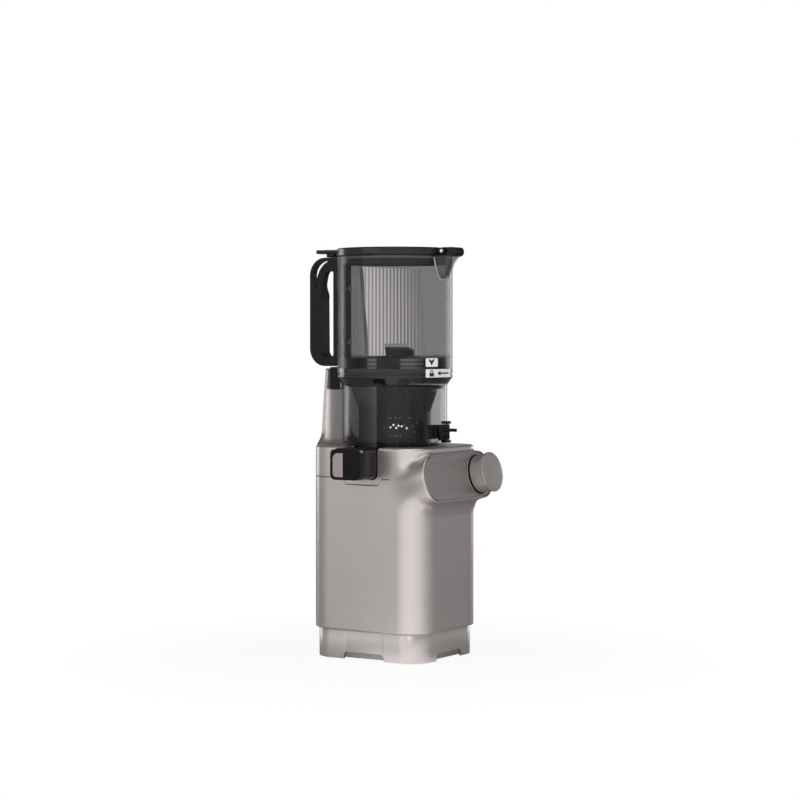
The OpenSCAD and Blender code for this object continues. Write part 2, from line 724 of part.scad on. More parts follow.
module juice_spout() {
    ear = 2.6;
    color([0.1, 0.09, 0.09]) difference() {
        union() {
            translate([-spout_reach, -spout_w / 2, bowl_floor_z + 0.2])
                cube([spout_reach - neck_r + 4, spout_w, spout_z1 - bowl_floor_z - 0.2]);
            cross_slab(concat([[spout_w / 2, bowl_floor_z + 1], [-spout_w / 2, bowl_floor_z + 1]],
                arc([-spout_w / 2 + spout_corner, spout_z0 + spout_corner], spout_corner, 180, 270, 6),
                arc([spout_w / 2 - spout_corner, spout_z0 + spout_corner], spout_corner, 270, 360, 6)),
                -spout_reach, -neck_r - 1.5);
            for (s = [-1, 1])
                translate([cap_pin_x - 2.4, s * (spout_w - ear) / 2 - ear / 2, cap_pin_z - 3])
                    cube([6, ear, 6]);
        }
        channel();
        translate([0, 0, spout_z0 - 1]) cylinder(r = neck_r + slip, h = spout_h + 10);
        translate([cap_pin_x, -spout_w, cap_pin_z]) rotate([-90, 0, 0])
            cylinder(r = cap_pin_r + slip, h = 2 * spout_w);
    }
}

// Shouldered bush in the hole of the bowl's floor
module bowl_bush() {
    color([0.72, 0.55, 0.3]) union() {
        tube(hub_bore_r, stem_r + run, bowl_floor_z, bowl_floor_z + floor_t + 1);
        tube(hub_r, stem_r + run, bowl_floor_z + floor_t, hub_top_z);
    }
}

module bowl_seal() {
    color([0.75, 0.35, 0.3]) tube(neck_r - 0.5, neck_r - 4, well_floor_z + seat, bowl_floor_z);
}

module pulp_packing() {
    color([0.1, 0.1, 0.1]) union() {
        translate([-pulp_hw + seat / 2, -bowl_r + 0.3, pulp_z0 + seat / 2])
            cube([2 * pulp_hw - seat, 4, pulp_z1 - pulp_z0 - seat]);
        translate([-pulp_hw - 2, -bowl_r + 3.4, pulp_z0 - 1])
            cube([2 * pulp_hw + 4, 8, pulp_z1 - pulp_z0 + 2]);
    }
}

module lever_pin() {
    color([0.8, 0.8, 0.82]) translate([lever_x, lever_y, lever_z0 - 3.2])
        cylinder(r = lever_pin_r, h = lever_z1 - lever_z0 + 6.4);
}

module pulp_lever() {
    color([0.08, 0.08, 0.08]) translate([lever_x, lever_y, 0]) difference() {
        union() {
            translate([0, 0, lever_z0]) cylinder(r = 3.4, h = lever_z1 - lever_z0);
            translate([-17, -3.4, lever_z0]) cube([17, 5.4, lever_z1 - lever_z0]);
            translate([-16, -20, lever_z0 + 9.5]) cube([5, 17, 3.4]);
        }
        translate([0, 0, lever_z0 - 1]) cylinder(r = lever_pin_r + run, h = lever_z1 - lever_z0 + 2);
    }
}

// Juice cap
cap_x1 = -spout_reach - seat;
cap_x0 = cap_x1 - juice_cap_t;
knuckle_r = 2.25;
knuckle_hw = spout_w / 2 - 2.6 - 0.4;
module cap_pin() {
    color([0.8, 0.8, 0.82]) translate([cap_pin_x, -spout_w / 2 + 0.2, cap_pin_z])
        rotate([-90, 0, 0]) cylinder(r = cap_pin_r, h = spout_w - 0.4);
}

module juice_cap() {
    low = 8;
    face = concat([[spout_w / 2, cap_pin_z - 4]], [[knuckle_hw, cap_pin_z - 4], [knuckle_hw, cap_pin_z],
        [-knuckle_hw, cap_pin_z], [-knuckle_hw, cap_pin_z - 4], [-spout_w / 2, cap_pin_z - 4]],
        arc([-spout_w / 2 + low, spout_z0 + low], low, 180, 270, 6),
        arc([spout_w / 2 - low, spout_z0 + low], low, 270, 360, 6));
    color([0.06, 0.06, 0.06]) difference() {
        union() {
            cross_slab(face, cap_x0, cap_x1);
            translate([cap_pin_x, -knuckle_hw, cap_pin_z]) rotate([-90, 0, 0])
                cylinder(r = knuckle_r, h = 2 * knuckle_hw);
        }
        translate([cap_pin_x, -spout_w, cap_pin_z]) rotate([-90, 0, 0])
            cylinder(r = cap_pin_r + run, h = 2 * spout_w);
    }
}

pad_t = 1.2;
module cap_pad() {
    pad_h = 13;
    color([0.68, 0.66, 0.65]) cross_slab([for (p = concat(
        [[3, pad_h], [3, -pad_h]], arc([9, -pad_h + 7], 7, 270, 360, 5), arc([9, pad_h - 7], 7, 0, 90, 5)))
        p + [0, spout_z0 + spout_h / 2 - 1]], cap_x0 - pad_t, cap_x0);
}

// Strainer and auger
strainer_z0 = bowl_floor_z + floor_t;
strainer_top_z = shoulder_z - 1.5;
cone_z0 = shoulder_z - 30;
cone_z1 = shoulder_z - 7;
strainer_in_r = strainer_r - strainer_wall;
strainer_rim_r = bowl_r - bowl_wall - 0.4;
strainer_rim_t = 3;
function drum_profile() = [
    [hub_r + seat, strainer_z0], [strainer_r, strainer_z0], [strainer_r, cone_z0],
    [strainer_in_r, cone_z0], [strainer_in_r, strainer_z0 + 2], [hub_r + seat, strainer_z0 + 2]];
function cone_profile() = [
    [strainer_in_r, cone_z0], [strainer_r, cone_z0], [strainer_mouth_r, cone_z1],
    [strainer_mouth_r, strainer_top_z - strainer_rim_t], [strainer_rim_r, strainer_top_z - strainer_rim_t],
    [strainer_rim_r, strainer_top_z], [strainer_mouth_r - strainer_wall, strainer_top_z],
    [strainer_mouth_r - strainer_wall, cone_z1]];
module strainer() {
    color([0.12, 0.11, 0.1]) difference() {
        rotate_extrude() polygon(drum_profile());
        for (row = [0:2], i = [0:juice_holes - 1])
            rotate([0, 0, 360 * (i + (row % 2) / 2) / juice_holes])
                translate([strainer_r - 4, 0, cone_z0 - 24 + 9 * row])
                    rotate([0, 90, 0]) cylinder(r = juice_hole_r, h = 8, $fn = 16);
    }
}

module strainer_cone() {
    color([0.12, 0.11, 0.1]) rotate_extrude() polygon(cone_profile());
}

thread_r = strainer_in_r - auger_gap;
thread_z0 = hub_top_z + 1;
thread_z1 = cone_z0 + 18;
throat_z1 = bowl_top_z + 13;
crown_z1 = throat_z1 + 10;
stem_z0 = bowl_floor_z + 1;
function thread_section() = concat(
    arc([0, 0], auger_core_r, 14, 166, 5), arc([0, 0], thread_r, 176, 184, 1),
    arc([0, 0], auger_core_r, 194, 346, 5), arc([0, 0], thread_r, 356, 364, 1));
module auger() {
    color([0.1, 0.09, 0.09]) difference() {
        union() {
            translate([0, 0, stem_z0]) cylinder(r = stem_r, h = thread_z0 - stem_z0 + 2);
            translate([0, 0, thread_z0]) linear_extrude(thread_z1 - thread_z0, twist = -300, slices = 20)
                polygon(thread_section());
            translate([0, 0, thread_z1 - 1]) cylinder(r = auger_core_r - 1, h = throat_z1 - thread_z1 + 2);
            translate([0, 0, throat_z1]) cylinder(r = crown_r, h = crown_z1 - throat_z1 - 3);
            translate([0, 0, crown_z1 - 3.01]) cylinder(r1 = crown_r, r2 = crown_r - 6, h = 3);
        }
        translate([0, 0, stem_z0 - 1]) cylinder(r = hex_r + hex_gap, h = shaft_top_z - stem_z0 + 3, $fn = 6);
    }
}

// Hopper
hopper_z0 = bowl_top_z + seat;
hopper_in_r = hopper_r - hopper_wall;
beak_z0 = hopper_top_z - 25;
lug_hw = 9;
pin_y = -(hopper_r + 3.9);
pin_z = hopper_top_z + lid_h / 2 + 0.5;
lid_pin_r = 1.7;
lid_top_z = hopper_top_z + lid_h;
collar_gap = 0.3;
strip_y = hopper_r + strip_t;
function beak_plan(e) = [
    [beak_hw - e, -hopper_r + 6], [beak_hw - e, -hopper_r + 2.5], [5 - e / 2, -beak_y + e],
    [-5 + e / 2, -beak_y + e], [-beak_hw + e, -hopper_r + 2.5], [-beak_hw + e, -hopper_r + 6]];
function beak_side(e) = [
    [-hopper_r + 6, hopper_top_z + (e > 0 ? 1 : 0)], [-beak_y + e, hopper_top_z + (e > 0 ? 1 : 0)],
    [-beak_y + e, hopper_top_z - 2], [-hopper_r - 8 + e, hopper_top_z - 10], [-hopper_r - 3 + e, beak_z0 + 5],
    [-hopper_r + 2, beak_z0 + e], [-hopper_r + 6, beak_z0 + e]];
module beak_solid(e) {
    intersection() {
        translate([0, 0, beak_z0 - 1]) linear_extrude(big) polygon(beak_plan(e));
        side_slab(beak_side(e), 2 * beak_hw + 2);
    }
}

module hopper() {
    floor_z = throat_z1;
    color([0.3, 0.29, 0.28, 0.5]) difference() {
        union() {
            tube(hopper_r, hopper_in_r, hopper_z0, hopper_top_z);
            tube(hopper_in_r + 0.5, throat_r, floor_z - 2, floor_z + 0.5);
            difference() {
                beak_solid(0);
                translate([0, 0, beak_z0 - 2]) cylinder(r = hopper_in_r + 0.5, h = big);
            }
            intersection() {
                side_slab(concat([[-hopper_r - 1.6, hopper_top_z - 1], [-hopper_r - 1.6, lid_top_z]],
                    arc([-beak_y + lid_h / 2, pin_z - 0.5], lid_h / 2, 90, 180, 6),
                    [[-beak_y, hopper_top_z - 1]]), 2 * lug_hw);
                translate([0, 0, hopper_top_z - 1]) linear_extrude(big)
                    polygon(concat([[lug_hw, -hopper_r], [-lug_hw, -hopper_r]],
                        arc([-lug_hw + 6, -beak_y + 6], 6, 180, 270, 5),
                        arc([lug_hw - 6, -beak_y + 6], 6, 270, 360, 5)));
            }
        }
        difference() {
            beak_solid(2.4);
            translate([-lug_hw, -beak_y - 1, hopper_top_z - 3]) cube([2 * lug_hw, beak_y - hopper_r + 2, 9]);
        }
        translate([-beak_hw, pin_y, pin_z]) rotate([0, 90, 0])
            cylinder(r = lid_pin_r + slip, h = 2 * beak_hw);
        for (z = screw_heights) translate([0, hopper_in_r - 4, z]) rotate([-90, 0, 0])
            cylinder(r = screw_r + 0.1, h = 10);
    }
}

module hopper_collar() {
    color([0.1, 0.09, 0.09]) tube(hopper_in_r - collar_gap, throat_r + 24, bowl_top_z - 9, throat_z1 - 2);
}

feed_t = 2;
feed_top_y = 5;
feed_foot_y = -3;
module feed_wall() {
    z0 = throat_z1 + 0.5;
    z1 = hopper_top_z - lid_skirt_h - 3;
    color([0.75, 0.74, 0.72, 0.6]) difference() {
        intersection() {
            side_slab([[feed_foot_y, z0], [feed_foot_y + feed_t, z0],
                [feed_top_y + feed_t, z1], [feed_top_y, z1]], 2 * hopper_in_r);
            translate([0, 0, z0 - 1]) cylinder(r = hopper_in_r - 0.15, h = big);
        }
        translate([0, 0, z0 - 1]) cylinder(r = crown_r + 3, h = crown_z1 - z0 + 4);
    }
}

// Handle
screw_heights = [hopper_z0 + 28, hopper_top_z - 34];
handle_z0 = bowl_top_z + 1.3;
handle_z1 = hopper_top_z + 0.5;
gap_z0 = handle_z0 + arm_t;
gap_z1 = hopper_top_z - 15;
grip_y = handle_y - handle_t;
split_z = hopper_top_z - 38;
function handle_outer() = concat([[hopper_r - 4, handle_z0], [handle_y - handle_corner_r, handle_z0]],
    arc([handle_y - handle_corner_r, handle_z0 + handle_corner_r], handle_corner_r, 270, 360),
    arc([handle_y - handle_corner_r, handle_z1 - handle_corner_r], handle_corner_r, 0, 90),
    [[hopper_r - 4, handle_z1]]);
function handle_gap() = concat([[strip_y, gap_z0 + 2], [strip_y + 2, gap_z0]],
    arc([grip_y - 6, gap_z0 + 6], 6, 270, 360, 4),
    [[grip_y, split_z - 8], [grip_y - 4, gap_z1 - 4], [grip_y - 8, gap_z1]],
    [[strip_y + 2, gap_z1], [strip_y, gap_z1 - 3]]);
// Crescent eye in the arch, between the outer band and the inner hook
eye_band = 3.4;
function handle_eye() = let (
    c = [handle_y - handle_corner_r, handle_z1 - handle_corner_r], r = handle_corner_r - eye_band)
    concat(arc(c, r, 100, -4, 8), [[c[0] + r - 1, c[1] - 12], [c[0] + r - 5, c[1] - 16],
    [c[0] + r - 8, c[1] - 9], [c[0] + r - 10, c[1] + 1], [c[0] + r - 14, c[1] + 9]]);

module handle() {
    color([0.17, 0.14, 0.13]) difference() {
        union() {
            intersection() {
                side_slab(handle_outer(), handle_w);
                translate([-big, -big, 0]) cube([2 * big, 2 * big, split_z]);
            }
            side_slab(handle_outer(), arch_w);
            translate([-handle_w / 2, hopper_r - 4, split_z - 1])
                cube([handle_w, strip_t + 4, handle_z1 - split_z - 3]);
        }
        translate([0, 0, handle_z0 - 1]) cylinder(r = hopper_r + slip, h = big);
        side_slab(handle_gap(), handle_w + 2);
        side_slab(handle_eye(), handle_w + 2);
        for (z = screw_heights) translate([0, hopper_r - 4, z]) rotate([-90, 0, 0])
            cylinder(r = screw_r + run, h = 13);
    }
}

module handle_screws() {
    color([0.7, 0.7, 0.72]) for (z = screw_heights) translate([0, hopper_in_r - 2.2, z]) rotate([-90, 0, 0]) {
        cylinder(r = screw_head_r, h = 2);
        cylinder(r = screw_r, h = 13);
    }
}

bracket_hw = 18;
bracket_h = 26;
bracket_out_r = column_inner_r - 2.7;
bracket_in_r = hopper_r + 0.6;
module handle_bracket() {
    color([0.07, 0.07, 0.07]) intersection() {
        union() {
            tube(bracket_out_r, bracket_in_r, handle_z0 - bracket_h, handle_z0 - 0.6);
            tube(strip_y - 0.5, hopper_r + 1.6, handle_z0 - 1, handle_z0);
        }
        translate([-bracket_hw, 0, 0]) cube([2 * bracket_hw, big, 2 * big]);
    }
}

// Marks: thin label plates on the control side of the hopper and the bowl
mark_t = 0.4;
module mark(r, z0, z1, a0, a1) {
    intersection() {
        tube(r + mark_t, r + slip, z0, z1);
        linear_extrude(2 * big) polygon(concat([[0, 0]], arc([0, 0], 2 * r, a0, a1, 4)));
    }
}
module arrow_mark() { color([0.85, 0.85, 0.84]) mark(hopper_r, hopper_z0 + 1.5, hopper_z0 + 11, 244, 259.5); }
module lock_mark() { color([0.85, 0.85, 0.84]) mark(hopper_r, bowl_top_z - 9.8, bowl_top_z - 0.6, 244, 283); }

// Lid
lid_gap = 0.3;
lid_plate_t = 3;
skirt_r = hopper_in_r - 1.5;
ear_in = lug_hw + 0.5;
ear_t = 3;
notch_y = hopper_r - 4.5;
module lid_pin() {
    color([0.9, 0.9, 0.9]) translate([-ear_in - ear_t - 0.3, pin_y, pin_z]) rotate([0, 90, 0])
        cylinder(r = lid_pin_r, h = 2 * (ear_in + ear_t + 0.3));
}

module lid() {
    z0 = hopper_top_z + lid_gap;
    color([0.17, 0.16, 0.15]) difference() {
        union() {
            translate([0, 0, lid_top_z - lid_plate_t]) cylinder(r = hopper_r, h = lid_plate_t);
            tube(hopper_r, hopper_in_r, z0, lid_top_z - 1);
            tube(skirt_r, skirt_r - 2, hopper_top_z - lid_skirt_h, lid_top_z - 1);
            for (s = [-1, 1]) translate([s * (ear_in + ear_t / 2) - ear_t / 2, 0, 0]) {
                translate([0, pin_y, pin_z]) rotate([0, 90, 0]) cylinder(r = 3.5, h = ear_t);
                translate([0, pin_y, pin_z - 2]) cube([ear_t, 8, 5]);
            }
        }
        translate([-ear_in, -big, hopper_top_z]) cube([2 * ear_in, big - notch_y, lid_h + 1]);
        translate([-beak_hw, pin_y, pin_z]) rotate([0, 90, 0]) cylinder(r = lid_pin_r + run, h = 2 * beak_hw);
    }
}

tab_w = 16;
tab_end_y = 101.5;
module lid_tab() {
    color([0.17, 0.16, 0.15]) difference() {
        union() {
            translate([-tab_w / 2, hopper_r - 3, lid_top_z - 4.3])
                cube([tab_w, tab_end_y - hopper_r + 3, 4.3]);
            translate([-5, strip_y + 2, handle_z1 + 0.4]) cube([10, 10, lid_top_z - handle_z1 - 2]);
        }
        translate([0, 0, hopper_top_z]) cylinder(r = hopper_r + slip, h = 2 * lid_h);
    }
}

module lid_gasket() {
    color([0.5, 0.5, 0.5]) tube(skirt_r + 0.9, skirt_r + slip, hopper_top_z - 3, hopper_top_z - 0.2);
}

// The origin lies on the floor under the middle of the whole object
shift_x = (spout_reach + seat + juice_cap_t + pad_t - pod_hw) / 2;
shift_y = (pod_y + (grip_l + cap_t - knob_y0) * cos(pod_tilt) + knob_r * sin(pod_tilt) - handle_y) / 2;
module placed() { translate([shift_x, shift_y, 0]) children(); }

placed() rubber_feet();
placed() bottom_plate();
placed() base_skirt();
placed() base_screws();
placed() lower_housing();
placed() upper_housing();
placed() rear_column();
placed() column_screws();
placed() front_pod();
placed() control_panel();
placed() knob_ring();
placed() knob_grip();
placed() knob_cap();
placed() knob_shaft();
placed() rotary_switch();
placed() control_board();
placed() cord_gland();
placed() motor_bracket();
placed() bracket_screws();
placed() motor_can();
placed() motor_stator();
placed() motor_rotor();
placed() motor_bearings();
placed() sun_gear();
placed() planet_one();
placed() planet_two();
placed() planet_three();
placed() ring_gear();
placed() gearbox_case();
placed() planet_carrier();
placed() drive_shaft();
placed() shaft_bearing();
placed() shaft_seal();
placed() juice_bowl();
placed() juice_spout();
placed() bowl_bush();
placed() bowl_seal();
placed() pulp_packing();
placed() lever_pin();
placed() pulp_lever();
placed() cap_pin();
placed() juice_cap();
placed() cap_pad();
placed() strainer();
placed() strainer_cone();
placed() auger();
placed() hopper();
placed() hopper_collar();
placed() feed_wall();
placed() handle();
placed() handle_screws();
placed() handle_bracket();
placed() arrow_mark();
placed() lock_mark();
placed() lid_pin();
placed() lid();
placed() lid_tab();
placed() lid_gasket();
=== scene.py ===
"""Dresses the cold press juicer: smooth skins, smoked plastics, finishes, light and camera.

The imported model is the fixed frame: +Z up, -X the juice side, -Y the control side. Pieces are
drawn in millimetres about the auger's axis, and dress() takes them to the model's own origin.
"""
from __future__ import annotations

import json
import logging
import math
from contextlib import contextmanager
from dataclasses import dataclass, field
from enum import Enum
from typing import Callable, Iterator, Sequence

import bmesh
import bpy
import numpy as np
from mathutils import Matrix, Vector

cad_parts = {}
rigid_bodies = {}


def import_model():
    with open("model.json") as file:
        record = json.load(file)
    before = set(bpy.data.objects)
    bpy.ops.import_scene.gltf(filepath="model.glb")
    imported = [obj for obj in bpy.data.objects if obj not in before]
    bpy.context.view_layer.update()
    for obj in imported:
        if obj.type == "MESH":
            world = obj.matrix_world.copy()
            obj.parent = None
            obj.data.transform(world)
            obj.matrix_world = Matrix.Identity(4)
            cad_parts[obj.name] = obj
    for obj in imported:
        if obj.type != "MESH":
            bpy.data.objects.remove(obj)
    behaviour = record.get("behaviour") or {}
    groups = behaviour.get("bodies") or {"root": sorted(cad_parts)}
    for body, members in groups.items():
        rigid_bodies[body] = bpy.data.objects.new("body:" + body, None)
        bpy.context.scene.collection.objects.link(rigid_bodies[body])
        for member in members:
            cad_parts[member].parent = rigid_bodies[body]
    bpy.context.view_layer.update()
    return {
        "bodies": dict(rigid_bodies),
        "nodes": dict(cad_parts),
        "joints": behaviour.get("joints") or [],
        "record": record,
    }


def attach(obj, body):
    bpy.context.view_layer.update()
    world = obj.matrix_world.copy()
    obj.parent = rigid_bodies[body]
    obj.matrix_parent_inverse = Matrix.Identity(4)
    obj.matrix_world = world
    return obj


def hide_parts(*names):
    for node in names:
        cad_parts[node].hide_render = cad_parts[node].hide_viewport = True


MM = 0.001
# Level way from the object to the brightest part of the surroundings
LIT_SIDE = (-0.819, -0.574, 0.0)
# Level ways of the photograph's view: across it from the handle to the controls, and away from it
ACROSS = (0.54, -0.842, 0.0)
TO_HANDLE = (-0.54, 0.842, 0.0)
TO_BACK = (0.842, 0.54, 0.0)
UP = (0.0, 0.0, 1.0)
# Place of the auger's axis; the model's origin is under the middle of the whole object
ORIGIN_SHIFT = Vector((13.35, -1.0731, 0.0)) * MM
# Way across from one rib of the hopper to the next
RIB_PITCH = 3.9
LOG = logging.getLogger("juicer")

Piece = bpy.types.Object
Socket = bpy.types.NodeSocket
Points = Sequence[Sequence[float]]
Ripple = Callable[[np.ndarray, np.ndarray], np.ndarray]


def box(x0: float, y0: float, x1: float, y1: float) -> np.ndarray:
    """Corners of a flat rectangle, (4, 2)."""
    return np.array([(x0, y0), (x1, y0), (x1, y1), (x0, y1)], float)


def fillet(points: Points, radii: Sequence[float] | float, steps: int = 6,
           closed: bool = True) -> np.ndarray:
    """Rounds the corners of a flat outline with true arcs.

    At each corner the two edge directions give the half angle. The arc's ends lie r / tan(half)
    from the corner and its centre r / sin(half) along the bisector.

    Args:
        points: Corners of the outline, (n, 2).
        radii: One radius for all corners, or one for each.
        steps: Flats in each arc.
        closed: False leaves the first and last corner as they are.

    Returns:
        The rounded outline, (n * (steps + 1), 2).
    """
    p = np.asarray(points, float)
    r = np.broadcast_to(np.asarray(radii, float), (len(p),)).copy()
    if not closed:
        r[[0, -1]] = 0
    u, v = np.roll(p, 1, 0) - p, np.roll(p, -1, 0) - p
    lu, lv = np.linalg.norm(u, axis=1), np.linalg.norm(v, axis=1)
    u, v = u / np.maximum(lu, 1e-9)[:, None], v / np.maximum(lv, 1e-9)[:, None]
    half = np.arccos(np.clip((u * v).sum(1), -0.999999, 0.999999)) / 2
    reach = np.minimum(r / np.tan(half), 0.499 * np.minimum(lu, lv))
    r = reach * np.tan(half)
    bisector = u + v
    bisector /= np.maximum(np.linalg.norm(bisector, axis=1), 1e-9)[:, None]
    centre = p + bisector * (r / np.sin(half))[:, None]
    start, end = p + u * reach[:, None] - centre, p + v * reach[:, None] - centre
    a0 = np.arctan2(start[:, 1], start[:, 0])
    turn = (np.arctan2(end[:, 1], end[:, 0]) - a0 + np.pi) % (2 * np.pi) - np.pi
    a = a0[:, None] + turn[:, None] * np.linspace(0, 1, steps + 1)
    arcs = centre[:, None] + r[:, None, None] * np.stack([np.cos(a), np.sin(a)], -1)
    if closed:
        return arcs.reshape(-1, 2)
    return np.concatenate([p[:1], arcs[1:-1].reshape(-1, 2), p[-1:]])


def spaced(points: Points, step: float, closed: bool = True) -> np.ndarray:
    """Adds points along an outline at every step of its length, where none stands near.

    Args:
        points: Outline, (n, k).
        step: Distance between the added points.
        closed: True joins the last point to the first.

    Returns:
        The denser outline, which keeps every old point.
    """
    p = np.asarray(points, float)
    q = np.concatenate([p, p[:1]]) if closed else p
    length = np.concatenate([[0], np.cumsum(np.linalg.norm(np.diff(q, axis=0), axis=1))])
    keep = np.concatenate([[True], np.diff(length) > 1e-7])
    q, length = q[keep], length[keep]
    extra = np.arange(0, length[-1], step)
    near = np.abs(extra[:, None] - length[None]).min(1) > step * 0.3
    at = np.sort(np.concatenate([length, extra[near]]))
    at = at[:-1] if closed else at
    return np.stack([np.interp(at, length, column) for column in q.T], 1)


def smooth_line(points: Points, steps: int = 8) -> np.ndarray:
    """Open Catmull-Rom curve: each span is the usual cubic of its four neighbours.

    Args:
        points: Points that the curve goes through, (n, k).
        steps: Flats in each span.

    Returns:
        Points of the curve, ((n - 1) * steps + 1, k).
    """
    p = np.asarray(points, float)
    p = np.concatenate([2 * p[:1] - p[1:2], p, 2 * p[-1:] - p[-2:-1]])
    t = np.linspace(0, 1, steps, endpoint=False)[None, :, None]
    a, b, c, d = (p[i:len(p) - 3 + i, None] for i in range(4))
    curve = 0.5 * (2 * b + (c - a) * t + (2 * a - 5 * b + 4 * c - d) * t ** 2
                   + (3 * b - a - 3 * c + d) * t ** 3)
    return np.concatenate([curve.reshape(-1, p.shape[1]), p[-2:-1]])


def bezier(p0: np.ndarray, p1: np.ndarray, p2: np.ndarray, p3: np.ndarray, steps: int) -> np.ndarray:
    """Cubic Bezier curves between matching rows of points, (steps + 1, n, 3)."""
    t = np.linspace(0, 1, steps + 1)[:, None, None]
    return (1 - t) ** 3 * p0 + 3 * t * (1 - t) ** 2 * p1 + 3 * t ** 2 * (1 - t) * p2 + t ** 3 * p3


def turned(profile: np.ndarray, steps: int = 192, centre: tuple[float, float] = (0.0, 0.0),
           ripple: Ripple | None = None) -> np.ndarray:
    """Turns a profile about an upright axis: x = r cos a, y = r sin a, z kept.

    Args:
        profile: Radius and height of each point, (n, 2).
        steps: Points round the axis.
        centre: Place of the axis.
        ripple: Given the angles (1, steps) and row numbers (n, 1), what to add to the radius.

    Returns:
        Points, (n, steps, 3).
    """
    a = np.linspace(0, 2 * np.pi, steps, endpoint=False)[None]
    r = profile[:, :1] + (ripple(a, np.arange(len(profile))[:, None]) if ripple else 0.0)
    z = np.broadcast_to(profile[:, 1:], (len(profile), steps))
    return np.stack([centre[0] + r * np.cos(a), centre[1] + r * np.sin(a), z], -1)


def quarter(radius: float, count: int) -> np.ndarray:
    """Points of a quarter round from a wall inwards: inset and rise from its start, (count, 2)."""
    t = np.linspace(0, np.pi / 2, count)
    return radius * np.stack([1 - np.cos(t), np.sin(t)], 1)


def there_and_back(x: np.ndarray, front: np.ndarray, back: np.ndarray, z: np.ndarray) -> np.ndarray:
    """Rows of points that run along y = front and return along y = back, (rows, columns, 3)."""
    z = np.broadcast_to(z, x.shape)
    return np.concatenate([np.stack([x, front, z], -1), np.stack([x, back, z], -1)[:, ::-1]], 1)


@contextmanager
def edited(data: bpy.types.Mesh) -> Iterator[bmesh.types.BMesh]:
    """Opens a mesh for editing and writes it back.

    Args:
        data: The mesh.

    Yields:
        Its editable form.
    """
    bm = bmesh.new()
    bm.from_mesh(data)
    yield bm
    bm.to_mesh(data)
    bm.free()


def smooth(data: bpy.types.Mesh, angle: float = 38.0) -> None:
    """Shades a mesh smooth, but for edges sharper than an angle in degrees."""
    data.polygons.foreach_set("use_smooth", np.ones(len(data.polygons), bool))
    data.set_sharp_from_angle(angle=math.radians(angle))


def settle(piece: Piece, angle: float = 38.0) -> Piece:
    """Merges doubles, drops thin faces, points faces outwards and sets smooth shading.

    Args:
        piece: Mesh object, linked or not.
        angle: Edges sharper than this many degrees stay hard.

    Returns:
        The same object, linked to the scene.
    """
    if piece.name not in bpy.context.scene.collection.objects:
        bpy.context.scene.collection.objects.link(piece)
    with edited(piece.data) as bm:
        bmesh.ops.remove_doubles(bm, verts=bm.verts, dist=2e-6)
        bmesh.ops.dissolve_degenerate(bm, edges=bm.edges, dist=1e-6)
        bmesh.ops.recalc_face_normals(bm, faces=bm.faces)
    smooth(piece.data, angle)
    return piece


@dataclass
class Skin:
    """Loose geometry in millimetres that grows grid by grid and ends as one mesh."""

    points: list[np.ndarray] = field(default_factory=list)
    faces: list[list[int]] = field(default_factory=list)
    count: int = 0

    def grid(self, rings: np.ndarray, wrap_rows: bool = False, wrap_columns: bool = True,
             capped: bool = False) -> Skin:
        """Adds a grid of points with a quad between each four neighbours.

        Args:
            rings: Points, (rows, columns, 3).
            wrap_rows: True joins the last row to the first.
            wrap_columns: True closes each row.
            capped: True puts a flat face on the first and the last row.

        Returns:
            The skin itself.
        """
        rows, columns = rings.shape[:2]
        i = np.arange(rows if wrap_rows else rows - 1)[:, None]
        j = np.arange(columns if wrap_columns else columns - 1)[None]
        i1, j1 = (i + 1) % rows, (j + 1) % columns
        quads = np.stack([i * columns + j, i * columns + j1, i1 * columns + j1, i1 * columns + j], -1)
        self.faces += (quads.reshape(-1, 4) + self.count).tolist()
        if capped:
            cap = np.arange(columns) + self.count
            self.faces += [cap.tolist(), (cap + (rows - 1) * columns).tolist()]
        self.points.append(rings.reshape(-1, 3))
        self.count += rows * columns
        return self

    def mesh(self, name: str, angle: float = 38.0) -> Piece:
        """Makes the linked mesh object, whose edges stay hard above an angle in degrees."""
        data = bpy.data.meshes.new(name)
        data.from_pydata((np.concatenate(self.points) * MM).tolist(), [], self.faces)
        return settle(bpy.data.objects.new(name, data), angle)


def solid(name: str, rings: Sequence[np.ndarray] | np.ndarray, angle: float = 38.0) -> Piece:
    """A closed piece over rows of points, (rows, columns, 3), with flat ends."""
    return Skin().grid(np.asarray(rings), capped=True).mesh(name, angle)


def hollow(name: str, rings: Sequence[np.ndarray] | np.ndarray, angle: float = 38.0) -> Piece:
    """A closed piece with a wall: rows of points whose last row joins the first."""
    return Skin().grid(np.asarray(rings), wrap_rows=True).mesh(name, angle)


def bake(piece: Piece) -> Piece:
    """Applies every modifier of a piece, so that its mesh is the finished shape."""
    graph = bpy.context.evaluated_depsgraph_get()
    made = bpy.data.meshes.new_from_object(piece.evaluated_get(graph))
    piece.modifiers.clear()
    piece.data = made
    return piece


def bevelled(piece: Piece, width: float, segments: int = 3, angle: float = 35.0) -> Piece:
    """Rounds the hard edges of a piece by a Bevel modifier and applies it.

    Args:
        piece: Closed mesh object.
        width: Width of the rounding in millimetres.
        segments: Flats across it.
        angle: Edges sharper than this many degrees are rounded.

    Returns:
        The same object.
    """
    cut = piece.modifiers.new("edge", "BEVEL")
    cut.width, cut.segments, cut.limit_method = width * MM, segments, "ANGLE"
    cut.angle_limit, cut.harden_normals, cut.use_clamp_overlap = math.radians(angle), True, True
    return bake(piece)


def carve(piece: Piece, *tools: Piece) -> Piece:
    """Subtracts closed tools from a closed piece and throws the tools away.

    Args:
        piece: The piece.
        tools: What is cut out of it.

    Returns:
        The same object.
    """
    for tool in tools:
        cut = piece.modifiers.new("cut", "BOOLEAN")
        cut.operation, cut.solver, cut.object = "DIFFERENCE", "EXACT", tool
        bake(piece)
        bpy.data.objects.remove(tool)
    return settle(piece)


